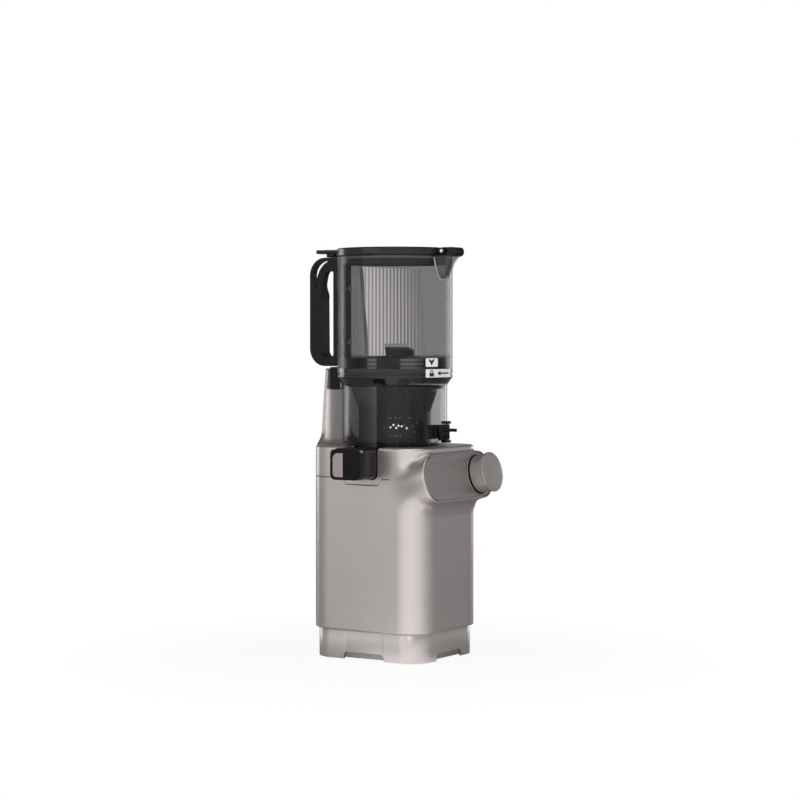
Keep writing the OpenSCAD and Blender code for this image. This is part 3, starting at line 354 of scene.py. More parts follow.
def joined(name: str, *parts: Piece) -> Piece:
    """Puts the meshes of several parts of one moulding into one object.

    Args:
        name: Name of the piece.
        parts: Objects at the origin, which are thrown away.

    Returns:
        The mesh object.
    """
    bm = bmesh.new()
    for part in parts:
        bm.from_mesh(part.data)
        bpy.data.objects.remove(part)
    data = bpy.data.meshes.new(name)
    bm.to_mesh(data)
    bm.free()
    piece = bpy.data.objects.new(name, data)
    bpy.context.scene.collection.objects.link(piece)
    smooth(data)
    return piece


class Across(Enum):
    """Direction in which a flat outline is thickened, then the two axes of its outline."""

    X = (0, 1, 2)
    Z = (2, 0, 1)


def slab(outline: np.ndarray, low: float, high: float, across: Across) -> np.ndarray:
    """A flat outline at its two ends along an axis, (2, n, 3)."""
    rings = np.zeros((2, len(outline), 3))
    rings[..., across.value[1:]] = outline
    rings[..., across.value[0]] = [[low], [high]]
    return rings


def plate(name: str, outline: np.ndarray, low: float, high: float, across: Across, edge: float = 0.0,
          holes: Sequence[np.ndarray] = ()) -> Piece:
    """A flat plate of any outline, with holes and rounded edges.

    Args:
        name: Name of the piece.
        outline: Its outline, (n, 2).
        low: Where it starts across.
        high: Where it ends across.
        across: Direction of its thickness.
        edge: Rounding of its edges.
        holes: Outlines of the holes through it.

    Returns:
        The mesh object.
    """
    piece = solid(name, slab(outline, low, high, across))
    reach = (high - low) * 0.5 + 1
    tools = [solid("hole_tool", slab(hole, low - reach, high + reach, across)) for hole in holes]
    piece = carve(piece, *tools) if tools else piece
    return bevelled(piece, edge) if edge else piece


def rounded_box(name: str, low: Sequence[float], high: Sequence[float], edge: float = 0.0) -> Piece:
    """A block between two corners with rounded edges."""
    (x0, y0, z0), (x1, y1, z1) = low, high
    return plate(name, box(x0, y0, x1, y1), z0, z1, Across.Z, edge)


def bent(name: str, outlines: Sequence[np.ndarray], middle: float, inner: float = 64.3,
         outer: float = 64.52) -> Piece:
    """Flat outlines wrapped round the axis: distance along the wall becomes angle.

    Args:
        name: Name of the piece.
        outlines: Outlines of distance and height, (n, 2) each.
        middle: Angle of distance zero, in degrees.
        inner: Radius of the back.
        outer: Radius of the face.

    Returns:
        The mesh object.
    """
    skin = Skin()
    for outline in outlines:
        a = math.radians(middle) + outline[:, 0] / outer
        skin.grid(np.array([np.column_stack([r * np.cos(a), r * np.sin(a), outline[:, 1]])
                            for r in (inner, outer)]), capped=True)
    piece = skin.mesh(name)
    with edited(piece.data) as bm:
        bmesh.ops.triangulate(bm, faces=[f for f in bm.faces if len(f.verts) > 4])
    return piece


class Graph:
    """A node tree, with short calls for the few kinds of node in use here."""

    def __init__(self, tree: bpy.types.NodeTree) -> None:
        """Takes hold of a tree's nodes and links."""
        self.nodes, self.links = tree.nodes, tree.links

    def feed(self, target: Socket, value: object) -> None:
        """Joins a socket to an input, or sets the input to a plain value."""
        if isinstance(value, bpy.types.NodeSocket):
            self.links.new(value, target)
        else:
            target.default_value = value

    def add(self, kind: str, inputs: dict[str | int, object] | None = None, out: str | int = 0,
            **settings: object) -> Socket:
        """Adds a node.

        Args:
            kind: Its type.
            inputs: Sockets or plain values by the input's name or number.
            out: Name or number of the output that is wanted.
            settings: The node's own settings.

        Returns:
            That output.
        """
        node = self.nodes.new(kind)
        for name, value in settings.items():
            setattr(node, name, value)
        for key, value in (inputs or {}).items():
            self.feed(node.inputs[key], value)
        return node.outputs[out]

    def place(self, stretch: Sequence[float] = (1, 1, 1)) -> Socket:
        """Object coordinates in millimetres about the auger's axis, stretched along each axis."""
        return self.add("ShaderNodeMapping", {
            "Vector": self.add("ShaderNodeTexCoord", out="Object"), "Scale": [s / MM for s in stretch],
            "Location": [-s * v / MM for s, v in zip(stretch, ORIGIN_SHIFT)]})

    def noise(self, scale: float, detail: float = 3.0, stretch: Sequence[float] = (1, 1, 1)) -> Socket:
        """Noise whose largest lumps are scale millimetres across."""
        return self.add("ShaderNodeTexNoise", {"Scale": 1 / scale, "Detail": detail,
                                               "Vector": self.place(stretch)})

    def along(self, way: Sequence[float], start: Socket | None = None) -> Socket:
        """Reach of a vector along a direction; with none given, millimetres from the auger's axis."""
        start = self.place() if start is None else start
        return self.add("ShaderNodeVectorMath", {0: start, 1: way}, "Value", operation="DOT_PRODUCT")

    def calc(self, operation: str, first: Socket | float, *more: Socket | float) -> Socket:
        """Folds sockets and plain numbers by one operation, from left to right."""
        for value in more:
            first = self.add("ShaderNodeMath", {0: first, 1: value}, operation=operation)
        return first

    def wave(self, distance: Socket, pitch: float) -> Socket:
        """Sine of a distance, with one turn for each pitch."""
        turns = self.calc("MULTIPLY", distance, 2 * math.pi / pitch)
        return self.add("ShaderNodeMath", {0: turns}, operation="SINE")

    def spread(self, value: Socket, low: float, high: float, start: float, end: float,
               kind: str = "LINEAR") -> Socket:
        """Maps start to end of a value onto low to high."""
        return self.add("ShaderNodeMapRange", {"Value": value, "From Min": start, "From Max": end,
                                     "To Min": low, "To Max": high}, interpolation_type=kind)

    def between(self, value: Socket, rise: Sequence[float], fall: Sequence[float]) -> Socket:
        """One from the end of rise to the start of fall, none outside, with straight slopes."""
        return self.calc("MULTIPLY", self.spread(value, 0.0, 1.0, *rise), self.spread(value, 1.0, 0.0, *fall))

    def ramp(self, value: Socket, dark: Sequence[float], light: Sequence[float], start: float = 0.0,
             end: float = 1.0) -> Socket:
        """Maps a value onto a run of colour.

        Args:
            value: What decides the colour.
            dark: Linear colour up to start.
            light: Linear colour from end on.
            start: Value at which the run starts.
            end: Value at which it ends.

        Returns:
            The colour.
        """
        node = self.nodes.new("ShaderNodeValToRGB")
        for stop, place, colour in zip(node.color_ramp.elements, (start, end), (dark, light)):
            stop.position, stop.color = place, (*colour, 1)
        self.feed(node.inputs[0], value)
        return node.outputs[0]


class Tree(Graph):
    """A new material's node tree around one Principled shader."""

    def __init__(self, name: str) -> None:
        """Starts an empty material with a shader joined to its output."""
        self.material = bpy.data.materials.new(name)
        self.material.use_nodes = True
        super().__init__(self.material.node_tree)
        self.nodes.clear()
        self.shader = self.nodes.new("ShaderNodeBsdfPrincipled")
        self.surface = self.nodes.new("ShaderNodeOutputMaterial").inputs[0]
        self.feed(self.surface, self.shader.outputs[0])

    def set(self, **values: object) -> None:
        """Feeds the shader's own sockets; an underscore in a name stands for a space."""
        for name, value in values.items():
            self.feed(self.shader.inputs[name.replace("_", " ")], value)

    def drift(self, colour: Sequence[float], share: float) -> None:
        """Lets the base colour drift by a share of itself over a few centimetres."""
        low, high = ([min(1.0, c * (1 + way * share)) for c in colour] for way in (-1, 1))
        self.set(Base_Color=self.ramp(self.noise(28.0), low, high, 0.3, 0.7))

    def roughen(self, rough: float, grain: Socket, share: float = 0.1) -> None:
        """Lets the roughness drift by a share of itself with a grain."""
        self.set(Roughness=self.spread(grain, rough * (1 - share), rough * (1 + share), 0.3, 0.7))

    def bump(self, height: Socket, strength: float, depth: float) -> None:
        """Raises the surface by a height map; depth is its full height in millimetres."""
        self.set(Normal=self.add("ShaderNodeBump", {"Strength": strength, "Distance": depth * MM,
                                                    "Height": height}))


def srgb(red: float, green: float, blue: float) -> tuple[float, float, float]:
    """A colour given as 0 to 255 screen values, as the linear values that shaders take."""
    c = np.array([red, green, blue]) / 255
    return tuple(np.where(c < 0.04045, c / 12.92, ((c + 0.055) / 1.055) ** 2.4).tolist())


@dataclass(frozen=True)
class Finish:
    """A moulded, painted or machined finish: base colour, gloss and grain."""

    name: str
    slot: str
    colour: tuple[float, float, float]
    rough: float = 0.4
    metal: float = 0.0
    grain: float = 0.4
    grain_depth: float = 0.01
    shade: float = 0.05
    stretch: tuple[float, float, float] = (1, 1, 1)
    coat: float = 0.0
    alpha: float = 1.0
    ior: float = 1.47
    glow: float = 0.0

    def material(self) -> bpy.types.Material:
        """Makes the material on the first call and finds it again later."""
        made = bpy.data.materials.get(self.name)
        if made is None:
            tree = Tree(self.name)
            self.paint(tree)
            made = tree.material
        return made

    def paint(self, tree: Tree) -> None:
        """Colour drifts over a few centimetres; roughness and height follow a fine grain."""
        tree.set(Metallic=self.metal, IOR=self.ior, Coat_Weight=self.coat, Coat_Roughness=0.08,
                 Alpha=self.alpha, Emission_Color=(*self.colour, 1), Emission_Strength=self.glow)
        tree.drift(self.colour, self.shade)
        grain = tree.noise(self.grain, 2.0, self.stretch)
        tree.roughen(self.rough, grain)
        tree.bump(grain, 0.35, self.grain_depth)


@dataclass(frozen=True)
class Smoked(Finish):
    """Clear smoked plastic, deeper to the back and to the handle as painted shade, at a slant and above a
    height.
    """

    # Extra opacity to the back and towards the handle is painted shade; the plastic's own tint is even
    back: float = 0.5
    side: float = 0.17
    side_start: float = 24.0
    edge: float = 0.45
    # Height above which the plastic is made darker
    darker_from: float = 1000.0
    ribs: float = 0.0

    def paint(self, tree: Tree) -> None:
        """Opacity adds up along the way to the back and along the way to the handle, both painted shade,
        where the surface turns away and above a set height; ribs wave it on the handle's side."""
        tree.set(IOR=self.ior, Coat_Weight=self.coat, Coat_Roughness=0.03)
        tree.drift(self.colour, self.shade)
        tree.roughen(self.rough, tree.noise(self.grain), 0.2)
        across = tree.along(ACROSS)
        slant = tree.add("ShaderNodeLayerWeight", {"Blend": 0.5}, "Facing")
        # The terms to the back and to the handle are painted shade
        total = tree.calc(
            "ADD", tree.spread(tree.along(TO_BACK), self.alpha, self.back, -26, 26),
            tree.spread(tree.along(TO_HANDLE), 0.0, self.side, self.side_start, self.side_start + 20),
            tree.spread(slant, 0.0, self.edge, 0.72, 0.95),
            tree.spread(tree.along(UP), 0.0, 0.55, self.darker_from, self.darker_from + 2),
            tree.calc("MULTIPLY", tree.wave(across, RIB_PITCH),
                      tree.spread(across, self.ribs, 0.0, -36, -30)))
        tree.set(Alpha=tree.calc("MINIMUM", total, 0.95))


@dataclass(frozen=True)
class RibbedPaintedLight(Finish):
    """Guide sheet that glows with painted light: upright ribs of light that fade, and a glow that dims,
    towards one side.
    """

    def paint(self, tree: Tree) -> None:
        """A sine of the way across darkens the grooves between painted highlights on the ribs, a ramp along
        x dims the painted light, and its free edge is dark as a painted shadow line."""
        x, ribs = tree.along((1, 0, 0)), tree.wave(tree.along(ACROSS), RIB_PITCH)
        rib = tree.calc("MULTIPLY", ribs, tree.spread(x, 0.4, 0.0, 12, 60))
        level = tree.calc("ADD", tree.spread(x, 0.85, 0.33, -45, 60), rib)
        edge = tree.spread(x, 0.05, 1.0, -57.5, -56.5)
        # The glow is painted light: ribs of painted highlight, dimmer towards +X, with a painted shadow line
        # at the free edge
        tree.set(Base_Color=(*self.colour, 1), Emission_Color=(1.0, 0.97, 0.955, 1),
                 Emission_Strength=tree.calc("MULTIPLY", level, edge, self.glow))
        tree.roughen(self.rough, tree.noise(self.grain))


@dataclass(frozen=True)
class Threaded(Finish):
    """Dark collar with painted highlights: two paler patches beside its middle, with level thread lines in
    them.
    """

    pale: tuple[float, float, float] = (0.3, 0.28, 0.27)
    pitch: float = 4.6

    def paint(self, tree: Tree) -> None:
        """A sine of the height gives the thread lines, and two soft steps of the way across bound the painted
        highlights.
        """
        across = tree.along(ACROSS)
        # Two paler patches with thread lines: painted highlights on the threads
        highlight_patches = tree.calc("ADD", tree.between(across, (-31, -29), (-21, -19)),
                            tree.between(across, (5, 7), (20, 36)))
        lines = tree.spread(tree.wave(tree.along(UP), self.pitch), 0.35, 1.0, -0.2, 0.6)
        tree.set(Roughness=self.rough, IOR=self.ior,
                 Base_Color=tree.ramp(tree.calc("MULTIPLY", highlight_patches, lines), self.colour, self.pale))
        tree.bump(tree.noise(self.grain), 0.35, self.grain_depth)


@dataclass(frozen=True)
class Caged(Finish):
    """Strainer's dark frame with upright bars, and a paler window of fine mesh towards the handle."""

    pale: tuple[float, float, float] = (0.42, 0.4, 0.385)
    pitch: float = 1.6
    bars: float = 11.5

    def paint(self, tree: Tree) -> None:
        """A soft step of the way across bounds the window, a sine of the height draws its mesh, and
        the crests of a sine of the way across are the bars."""
        across, height = tree.along(ACROSS), tree.along(UP)
        mesh = tree.calc("MULTIPLY", tree.spread(across, 1.0, 0.0, -21, -19),
                         tree.spread(height, 0.0, 1.0, 226, 229),
                         tree.spread(tree.wave(height, self.pitch), 0.7, 1.0, -0.5, 0.5))
        bars = tree.spread(tree.wave(across, self.bars), 0.0, 0.06, 0.86, 1.0)
        tree.set(IOR=self.ior, Base_Color=tree.ramp(tree.calc("ADD", mesh, bars), self.colour, self.pale))
        tree.roughen(self.rough, tree.noise(self.grain))


@dataclass(frozen=True)
class Windings(Finish):
    """Enamelled copper wire wound upright, seen as fine ridges round the stator."""

    pitch: float = 0.9

    def paint(self, tree: Tree) -> None:
        """Bands along Z one wire apart lower the gaps and darken them with painted shade."""
        bands = tree.add("ShaderNodeTexWave", {"Scale": 0.314 / self.pitch, "Vector": tree.place()}, "Fac",
                         bands_direction="Z")
        # Painted shade in the gaps between the wires
        dark = [c * 0.35 for c in self.colour]
        tree.set(Metallic=self.metal, Base_Color=tree.ramp(bands, dark, self.colour, 0.1, 0.6))
        tree.roughen(self.rough, tree.noise(2.0), 0.2)
        tree.bump(bands, 0.8, 0.3)


SILVER = Finish("satin silver paint", "silver_paint", srgb(197, 190, 188), 0.32, 0.9, 0.16, 0.006, 0.02)
INLAY = Finish("cap pad paint", "silver_paint", srgb(168, 160, 158), 0.36, 0.8, 0.14, 0.006, 0.03)
# A darker, duller copy of the silver paint for the bottom plate: painted shade
SHADED = Finish("silver paint with painted shade", "silver_paint", srgb(150, 145, 142), 0.5, 0.5, 0.3, 0.01, 0.03)
PANEL = Finish("mauve grey panel paint", "panel_paint", srgb(158, 151, 151), 0.4, 0.7, 0.14, 0.006, 0.02)
GRIP = Finish("knob grip metal", "knob_metal", srgb(176, 170, 166), 0.42, 0.8, 0.7, 0.1, 0.06)
FACE = Finish("knob face metal", "knob_metal", srgb(171, 163, 162), 0.36, 0.8, 0.12, 0.006, 0.02)
# Both smoked finishes darken to the back and to the handle as painted shade
SMOKED = Smoked("smoked hopper plastic", "smoked_clear", srgb(24, 18, 14), 0.05, 0.0, 6.0, coat=0.3,
                alpha=0.2, side=0.05, ribs=0.05)
SMOKED_BOWL = Smoked("smoked bowl plastic", "smoked_clear", srgb(22, 17, 14), 0.05, 0.0, 6.0, coat=0.3,
                     ior=1.45, alpha=0.22, back=0.34, side=0.26, side_start=14.0, darker_from=300.0)
SMOKED_BEAK = Smoked("smoked beak plastic", "smoked_clear", srgb(16, 12, 10), 0.05, 0.0, 6.0, coat=0.7,
                     alpha=0.36, edge=0.6)
# Pale colour of the beak's foot bead: painted highlight
BEAD_HIGHLIGHT = Finish("clear bead with painted highlight", "smoked_clear", srgb(190, 186, 183), 0.1, 0.0, 2.0, 0.004, 0.02, coat=0.5,
             alpha=0.75)
DEEP = Finish("deep smoked plastic", "smoked_clear", srgb(22, 19, 17), 0.1, 0.0, 0.5, 0.002, ior=1.3)
LIT = Finish("lit juice holes", "frosted_clear", srgb(250, 248, 245), 0.4, 0.0, 0.5, 0.02, 0.02, glow=1.6)
FAINT = Finish("unlit juice holes", "frosted_clear", srgb(120, 114, 110), 0.4, 0.0, 0.5, 0.02, 0.02)
# The guide sheet's glow and its ribs of light are painted light
SHEET_PAINTED_LIGHT = RibbedPaintedLight("guide sheet with painted light", "frosted_clear", srgb(110, 106, 103), 0.45, 0.0, 0.5, glow=0.56)
BLACK = Finish("gloss black plastic", "black_plastic", srgb(14, 12, 11), 0.16, 0.0, 0.6, 0.002, ior=1.25)
DARK = Finish("moulded dark plastic", "dark_plastic", srgb(22, 16, 13), 0.34, 0.0, 0.3, 0.004, 0.06, ior=1.3)
COLLAR = Threaded("threaded dark plastic", "dark_plastic", srgb(16, 12, 10), 0.3, 0.0, 0.5, 0.004, ior=1.3)
COVER = Finish("gloss dark plastic", "dark_plastic", srgb(24, 19, 16), 0.16, 0.0, 0.6, 0.002, 0.04, ior=1.36,
               coat=0.1)
BASKET = Caged("strainer plastic", "dark_plastic", srgb(20, 17, 16), 0.24, 0.0, 3.0, ior=1.36)
GREY = Finish("moulded grey plastic", "grey_plastic", srgb(92, 92, 94), 0.5, 0.0, 0.3, 0.03)
LABEL = Finish("white label plastic", "white_label", srgb(245, 244, 242), 0.4, 0.0, 0.2, 0.004, 0.01)
INK = Finish("dark label ink", "black_plastic", srgb(32, 30, 29), 0.45, 0.0, 0.2, 0.004)
RUBBER = Finish("foot rubber", "rubber", srgb(34, 33, 33), 0.75, 0.0, 0.25, 0.04, 0.1)
SILICONE = Finish("seal silicone", "seal_silicone", srgb(120, 117, 115), 0.55, 0.0, 0.4, 0.02, 0.04)
STEEL = Finish("brushed steel", "steel", srgb(186, 186, 189), 0.3, 1.0, 0.3, 0.01, 0.04, (1, 1, 0.05))
NYLON = Finish("gear nylon", "gear_nylon", srgb(225, 218, 198), 0.45, 0.0, 0.4, 0.02, 0.03)
BRONZE = Finish("sintered bronze", "bronze", srgb(176, 132, 78), 0.4, 1.0, 0.15, 0.02, 0.08)
COPPER = Windings("copper windings", "copper", srgb(190, 110, 62), 0.35, 1.0)
BOARD = Finish("circuit board", "board", srgb(30, 92, 58), 0.35, 0.0, 0.8, 0.02, 0.15, coat=0.3)
PIN = Finish("bright pin", "steel", srgb(235, 235, 235), 0.25, 0.6, 0.3, 0.004, 0.01)

# CAD nodes that stay in view, by their finish
CARRIED = {
    STEEL: ("base_screws", "column_screws", "bracket_screws", "handle_screws", "knob_shaft", "motor_bracket",
            "motor_can", "motor_rotor", "motor_bearings", "sun_gear", "ring_gear", "planet_carrier",
            "drive_shaft", "shaft_bearing", "lever_pin", "cap_pin"),
    PIN: ("lid_pin",), COPPER: ("motor_stator",), BOARD: ("control_board",), BRONZE: ("bowl_bush",),
    NYLON: ("planet_one", "planet_two", "planet_three"), GREY: ("rotary_switch", "gearbox_case"),
    RUBBER: ("cord_gland", "shaft_seal", "pulp_packing"), SILICONE: ("bowl_seal", "lid_gasket"),
    DARK: ("auger",),
}


def dress(piece: Piece, finish: Finish, body: str, *nodes: str) -> None:
    """Gives a new piece its finish, its body and the CAD nodes that it stands for.

    Args:
        piece: The finished mesh object.
        finish: Its material.
        body: Body that it rides on.
        nodes: CAD nodes that it replaces.
    """
    piece.data.transform(Matrix.Translation(ORIGIN_SHIFT))
    piece.data.materials.clear()
    piece.data.materials.append(finish.material())
    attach(piece, body)
    if nodes:
        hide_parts(*nodes)
    LOG.info("%s: %d faces on %s", piece.name, len(piece.data.polygons), body)


def dress_carried(nodes: dict[str, Piece]) -> None:
    """Gives the CAD nodes that stay in view their finishes.

    Args:
        nodes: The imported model's objects by node name.
    """
    for finish, names in CARRIED.items():
        for name in names:
            data = nodes[name].data
            data.materials.clear()
            data.materials.append(finish.material())
            smooth(data, 30)


@dataclass
class BodyPlan:
    """Outline of the motor base from above: four round corners and a bowed back."""

    half_width: float = 67.0
    front: float = 74.5
    corner: float = 30.0
    back_centre: float = -30.0
    back_radius: float = 113.0

    def __post_init__(self) -> None:
        """Works out the outline's points and the outward direction at each."""
        self.corner_x = self.half_width - self.corner
        self.front_cy = self.corner - self.front
        rear = math.sqrt((self.back_radius - self.corner) ** 2 - self.corner_x ** 2)
        self.rear_cy = rear + self.back_centre
        lean = math.degrees(math.atan2(rear, self.corner_x))
        cx, fy, ry, r = self.corner_x, self.front_cy, self.rear_cy, self.corner
        # Points that the spout's dip and the skirt's notches need on the flat walls
        marks = np.array([21, 25, 26, 26.06, 23])
        side = np.unique(np.concatenate([np.arange(-44, 45), marks, -marks, [fy, ry]]))
        face = np.unique(np.concatenate([np.arange(-36, 37), marks, -marks, [-cx, cx]]))
        runs = [self._line(face, -self.front, 0), self._arc((cx, fy), r, -90, 0, 40),
                self._line(side, self.half_width, 1), self._arc((cx, ry), r, 0, lean, 30),
                self._arc((0, self.back_centre), self.back_radius, lean, 180 - lean, 90),
                self._arc((-cx, ry), r, 180 - lean, 180, 30),
                self._line(side[::-1], -self.half_width, 1), self._arc((-cx, fy), r, 180, 270, 40)]
        self.points, self.out = (np.concatenate(part) for part in zip(*runs))

    @staticmethod
    def _line(along: np.ndarray, level: float, axis: int) -> tuple[np.ndarray, np.ndarray]:
        """Points on a straight wall without the last one, and the directions away from the axis."""
        points, out = np.full((len(along) - 1, 2), float(level)), np.zeros((len(along) - 1, 2))
        points[:, axis], out[:, 1 - axis] = along[:-1], np.sign(level)
        return points, out

    @staticmethod
    def _arc(centre: Sequence[float], radius: float, a0: float, a1: float,
             steps: int) -> tuple[np.ndarray, np.ndarray]:
        """Points of an arc without its last one, and the directions away from its centre."""
        a = np.radians(np.linspace(a0, a1, steps, endpoint=False))
        out = np.stack([np.cos(a), np.sin(a)], 1)
        return np.asarray(centre) + radius * out, out

    def ring(self, inset: float, height: float | np.ndarray) -> np.ndarray:
        """The outline drawn in by inset, at a height of its own at each point if need be, (n, 3)."""
        z = np.broadcast_to(np.asarray(height, float), (len(self.points),))
        return np.column_stack([self.points - inset * self.out, z])

    def circle(self, radius: float, height: float) -> np.ndarray:
        """A circle about the axis whose points lie in line with the outline's, (n, 3)."""
        way = self.points / np.linalg.norm(self.points, axis=1)[:, None]
        return np.column_stack([way * radius, np.full(len(way), height)])

    def lower_edge(self, radius: float, height: float | np.ndarray, count: int) -> list[np.ndarray]:
        """Rings of a rounded edge that starts at its lowest, at a height."""
        return [self.ring(radius - rise, height + inset) for inset, rise in quarter(radius, count)]

    def upper_edge(self, radius: float, height: float | np.ndarray, count: int) -> list[np.ndarray]:
        """Rings of a rounded edge that ends at its highest, at a height."""
        return [self.ring(inset, height - radius + rise) for inset, rise in quarter(radius, count)]

    def strip(self, along: np.ndarray) -> tuple[np.ndarray, np.ndarray]:
        """Follows the wall from the middle of the front round both corners.

        Straight to the corner, then round it by its radius, then straight along the side.

        Args:
            along: Distances from the middle, positive towards +X.

        Returns:
            Points and directions of growing distance, (n, 2) each.
        """
        s, sign = np.abs(along), np.where(along < 0, -1.0, 1.0)
        t = np.clip((s - self.corner_x) / self.corner, 0, np.pi / 2)
        past = np.maximum(s - self.corner_x - self.corner * np.pi / 2, 0)
        x = np.minimum(s, self.corner_x) + self.corner * np.sin(t)
        y = self.front_cy - self.corner * np.cos(t) + past
        return np.stack([sign * x, y], 1), np.stack([np.cos(t), sign * np.sin(t)], 1)


@dataclass
class MotorBase:
    """Housing shells, base skirt, bottom plate, feet and the column behind the bowl."""

    plan: BodyPlan
    top: float = 233.0
    seam: float = 199.0
    seam_gap: float = 0.35
    dip: float = 7.0
    base_seam: float = 33.5
    wall: float = 3.0
    well: float = 51.0
    well_floor: float = 206.0
    hub: float = 13.02
    spout_half: float = 20.8
    spout_floor: float = 198.0
    skirt_inset: float = 4.0
    notch_top: float = 9.0
    notch_end: float = 26.0
    screw_places: tuple[float, float] = (47.0, 53.5)
    foot_places: tuple[float, float] = (37.0, 30.5)

    def seam_line(self) -> np.ndarray:
        """Height of the seam at each outline point: level, with a trapezoid dip under the spout."""
        p = self.plan.points
        dipped = np.interp(np.abs(p[:, 1]), [21, 25], [self.seam - self.dip, self.seam])
        return np.where(p[:, 0] < -self.plan.half_width + 0.01, dipped, self.seam)

    def foot_line(self) -> np.ndarray:
        """Height of the skirt's lower edge: near the floor, with a chamfered notch on each side."""
        p, out, end = self.plan.points, self.plan.out, self.notch_end
        flat_side = np.abs(np.abs(out[:, 0]) - 1) < 1e-6
        along = np.where(flat_side, np.abs(p[:, 1]), np.abs(p[:, 0]))
        notched = np.interp(along, [end - 3, end], [self.notch_top, self.notch_top - 3])
        walls = flat_side | (np.abs(out[:, 1]) > 0.95)
        return np.where(walls & (along <= end + 0.001), notched, 1.25)

    def window_tool(self) -> Piece:
        """Cutter for the opening behind the pod."""
        return rounded_box("window_tool", (-56, -75.6, 181), (56, -59.5, 221))

    def lower(self) -> Piece:
        """Lower shell: an outer wall with a small radius at each seam, its rim and inner wall."""
        ring, seam, base, wall = self.plan.ring, self.seam_line(), self.base_seam, self.wall
        rings = [ring(10, base), *self.plan.lower_edge(1.0, base, 5), ring(0, base + 2), ring(0, seam - 10),
                 ring(0, seam - 1.2), *self.plan.upper_edge(0.6, seam, 5), ring(wall, seam),
                 ring(wall, base + wall), ring(10, base + wall)]
        return carve(hollow("lower_shell", rings), self.window_tool())

    def upper(self) -> Piece:
        """Upper shell: outer wall, rounded top edge, flat top, the bowl's well and its floor.

        The slot for the spout is then cut through wall and well.
        """
        ring, circle, wall = self.plan.ring, self.plan.circle, self.wall
        seam, top, well, floor = self.seam_line() + self.seam_gap, self.top, self.well, self.well_floor
        rings = [ring(wall, seam), *self.plan.lower_edge(0.6, seam, 4), ring(0, seam + 1.2), ring(0, top - 4),
                 *self.plan.upper_edge(2.5, top, 7), ring(6, top),
                 *[circle(well + 1.2 - rise, top - inset) for inset, rise in quarter(1.2, 4)],
                 circle(well, floor), circle(self.hub, floor), circle(self.hub, floor - wall),
                 circle(well + wall, floor - wall), circle(well + wall, top - wall), ring(wall, top - wall)]
        piece = hollow("upper_shell", rings)
        half, low = self.spout_half, self.spout_floor
        right = [(half, low), (half, top - 3), (half + 3, top + 1), (half + 3, top + 9)]
        outline = fillet([(-y, z) for y, z in right[::-1]] + right, [0, 1, 4, 7, 7, 4, 1, 0])
        slot = solid("slot_tool", slab(outline, -76, -well + 0.3, Across.X))
        deep = rounded_box("deep_tool", (-62, -half, floor + 0.2), (-40, half, top + 9))
        return carve(piece, slot, deep, self.window_tool())

    def skirt(self) -> Piece:
        """Base skirt: a wall set in from the housing, with a notch between each pair of legs."""
        ring, foot, top, inset = self.plan.ring, self.foot_line(), self.base_seam - 0.1, self.skirt_inset
        rings = [ring(inset + 3, foot), ring(inset + 0.5, foot), ring(inset + 0.12, foot + 0.12),
                 ring(inset, foot + 0.5), ring(inset, top - 0.6), ring(inset + 0.5, top),
                 ring(inset + 3, top)]
        return hollow("skirt", rings, 50)

    def pan(self) -> Piece:
        """Bottom plate: a shallow pan whose rim stands inside the skirt, with sunk screw holes."""
        piece = solid("pan", [self.plan.ring(inset, height) for inset, height in (
            (8.1, 2.5), (7.5, 2.75), (7.3, 3.3), (7.3, 14), (9.8, 14), (9.8, 6.5))])
        hole, (x, y) = np.array([[3.7, 1.0], [3.7, 4.55]]), self.screw_places
        return carve(piece, *[solid("sink_tool", turned(hole, 32, (sx * x, sy * y)))
                              for sx in (-1, 1) for sy in (-1, 1)])

    def feet(self) -> Piece:
        """Four rubber feet: low discs with a rounded lower edge."""
        profile = fillet(box(0.01, 0, 8, 2.5), [0, 0.8, 0.2, 0])
        skin, (x, y) = Skin(), self.foot_places
        for sx, sy in ((-1, -1), (1, -1), (1, 1), (-1, 1)):
            skin.grid(turned(profile, 64, (x * sx, y * sy)), capped=True)
        return skin.mesh("feet")

    def column(self) -> Piece:
        """Column: at each height a strip between the bowed back and a hollow about the bowl.

        Its half width follows a smooth curve that flares into the body's shoulders. Across, x runs
        from -w to w on the outer arc and back on the inner one.
        """
        tip = (16.3, 313.6)
        curve = smooth_line([(48.3, 233), (41.5, 235), (34.5, 238), (29.5, 242), (26.8, 248), (24.6, 262),
                             (20.6, 290), (17.5, 308), tip], 5)
        crown = np.array(tip) + quarter(3.4, 7)[1:] * (-1, 1)
        w, z = np.concatenate([curve, crown]).T
        x = w[:, None] * np.linspace(-1, 1, 49)
        outer = np.sqrt(self.plan.back_radius ** 2 - x ** 2) + self.plan.back_centre
        inner = np.sqrt(80.0 ** 2 - x ** 2)
        low = z < 236
        inner[low] = np.minimum(inner[low], np.sqrt(np.maximum(60.2 ** 2 - x[low] ** 2, 0)))
        return bevelled(solid("column", there_and_back(x, outer, inner, z[:, None]), 50), 1.1, 3, 55)

    def build(self) -> None:
        """Makes and dresses every piece of the base."""
        dress(self.lower(), SILVER, "base", "lower_housing")
        dress(self.upper(), SILVER, "base", "upper_housing")
        dress(self.skirt(), SILVER, "base", "base_skirt")
        dress(self.pan(), SHADED, "base", "bottom_plate")
        dress(self.feet(), RUBBER, "base", "rubber_feet")
        dress(self.column(), SILVER, "base", "rear_column")


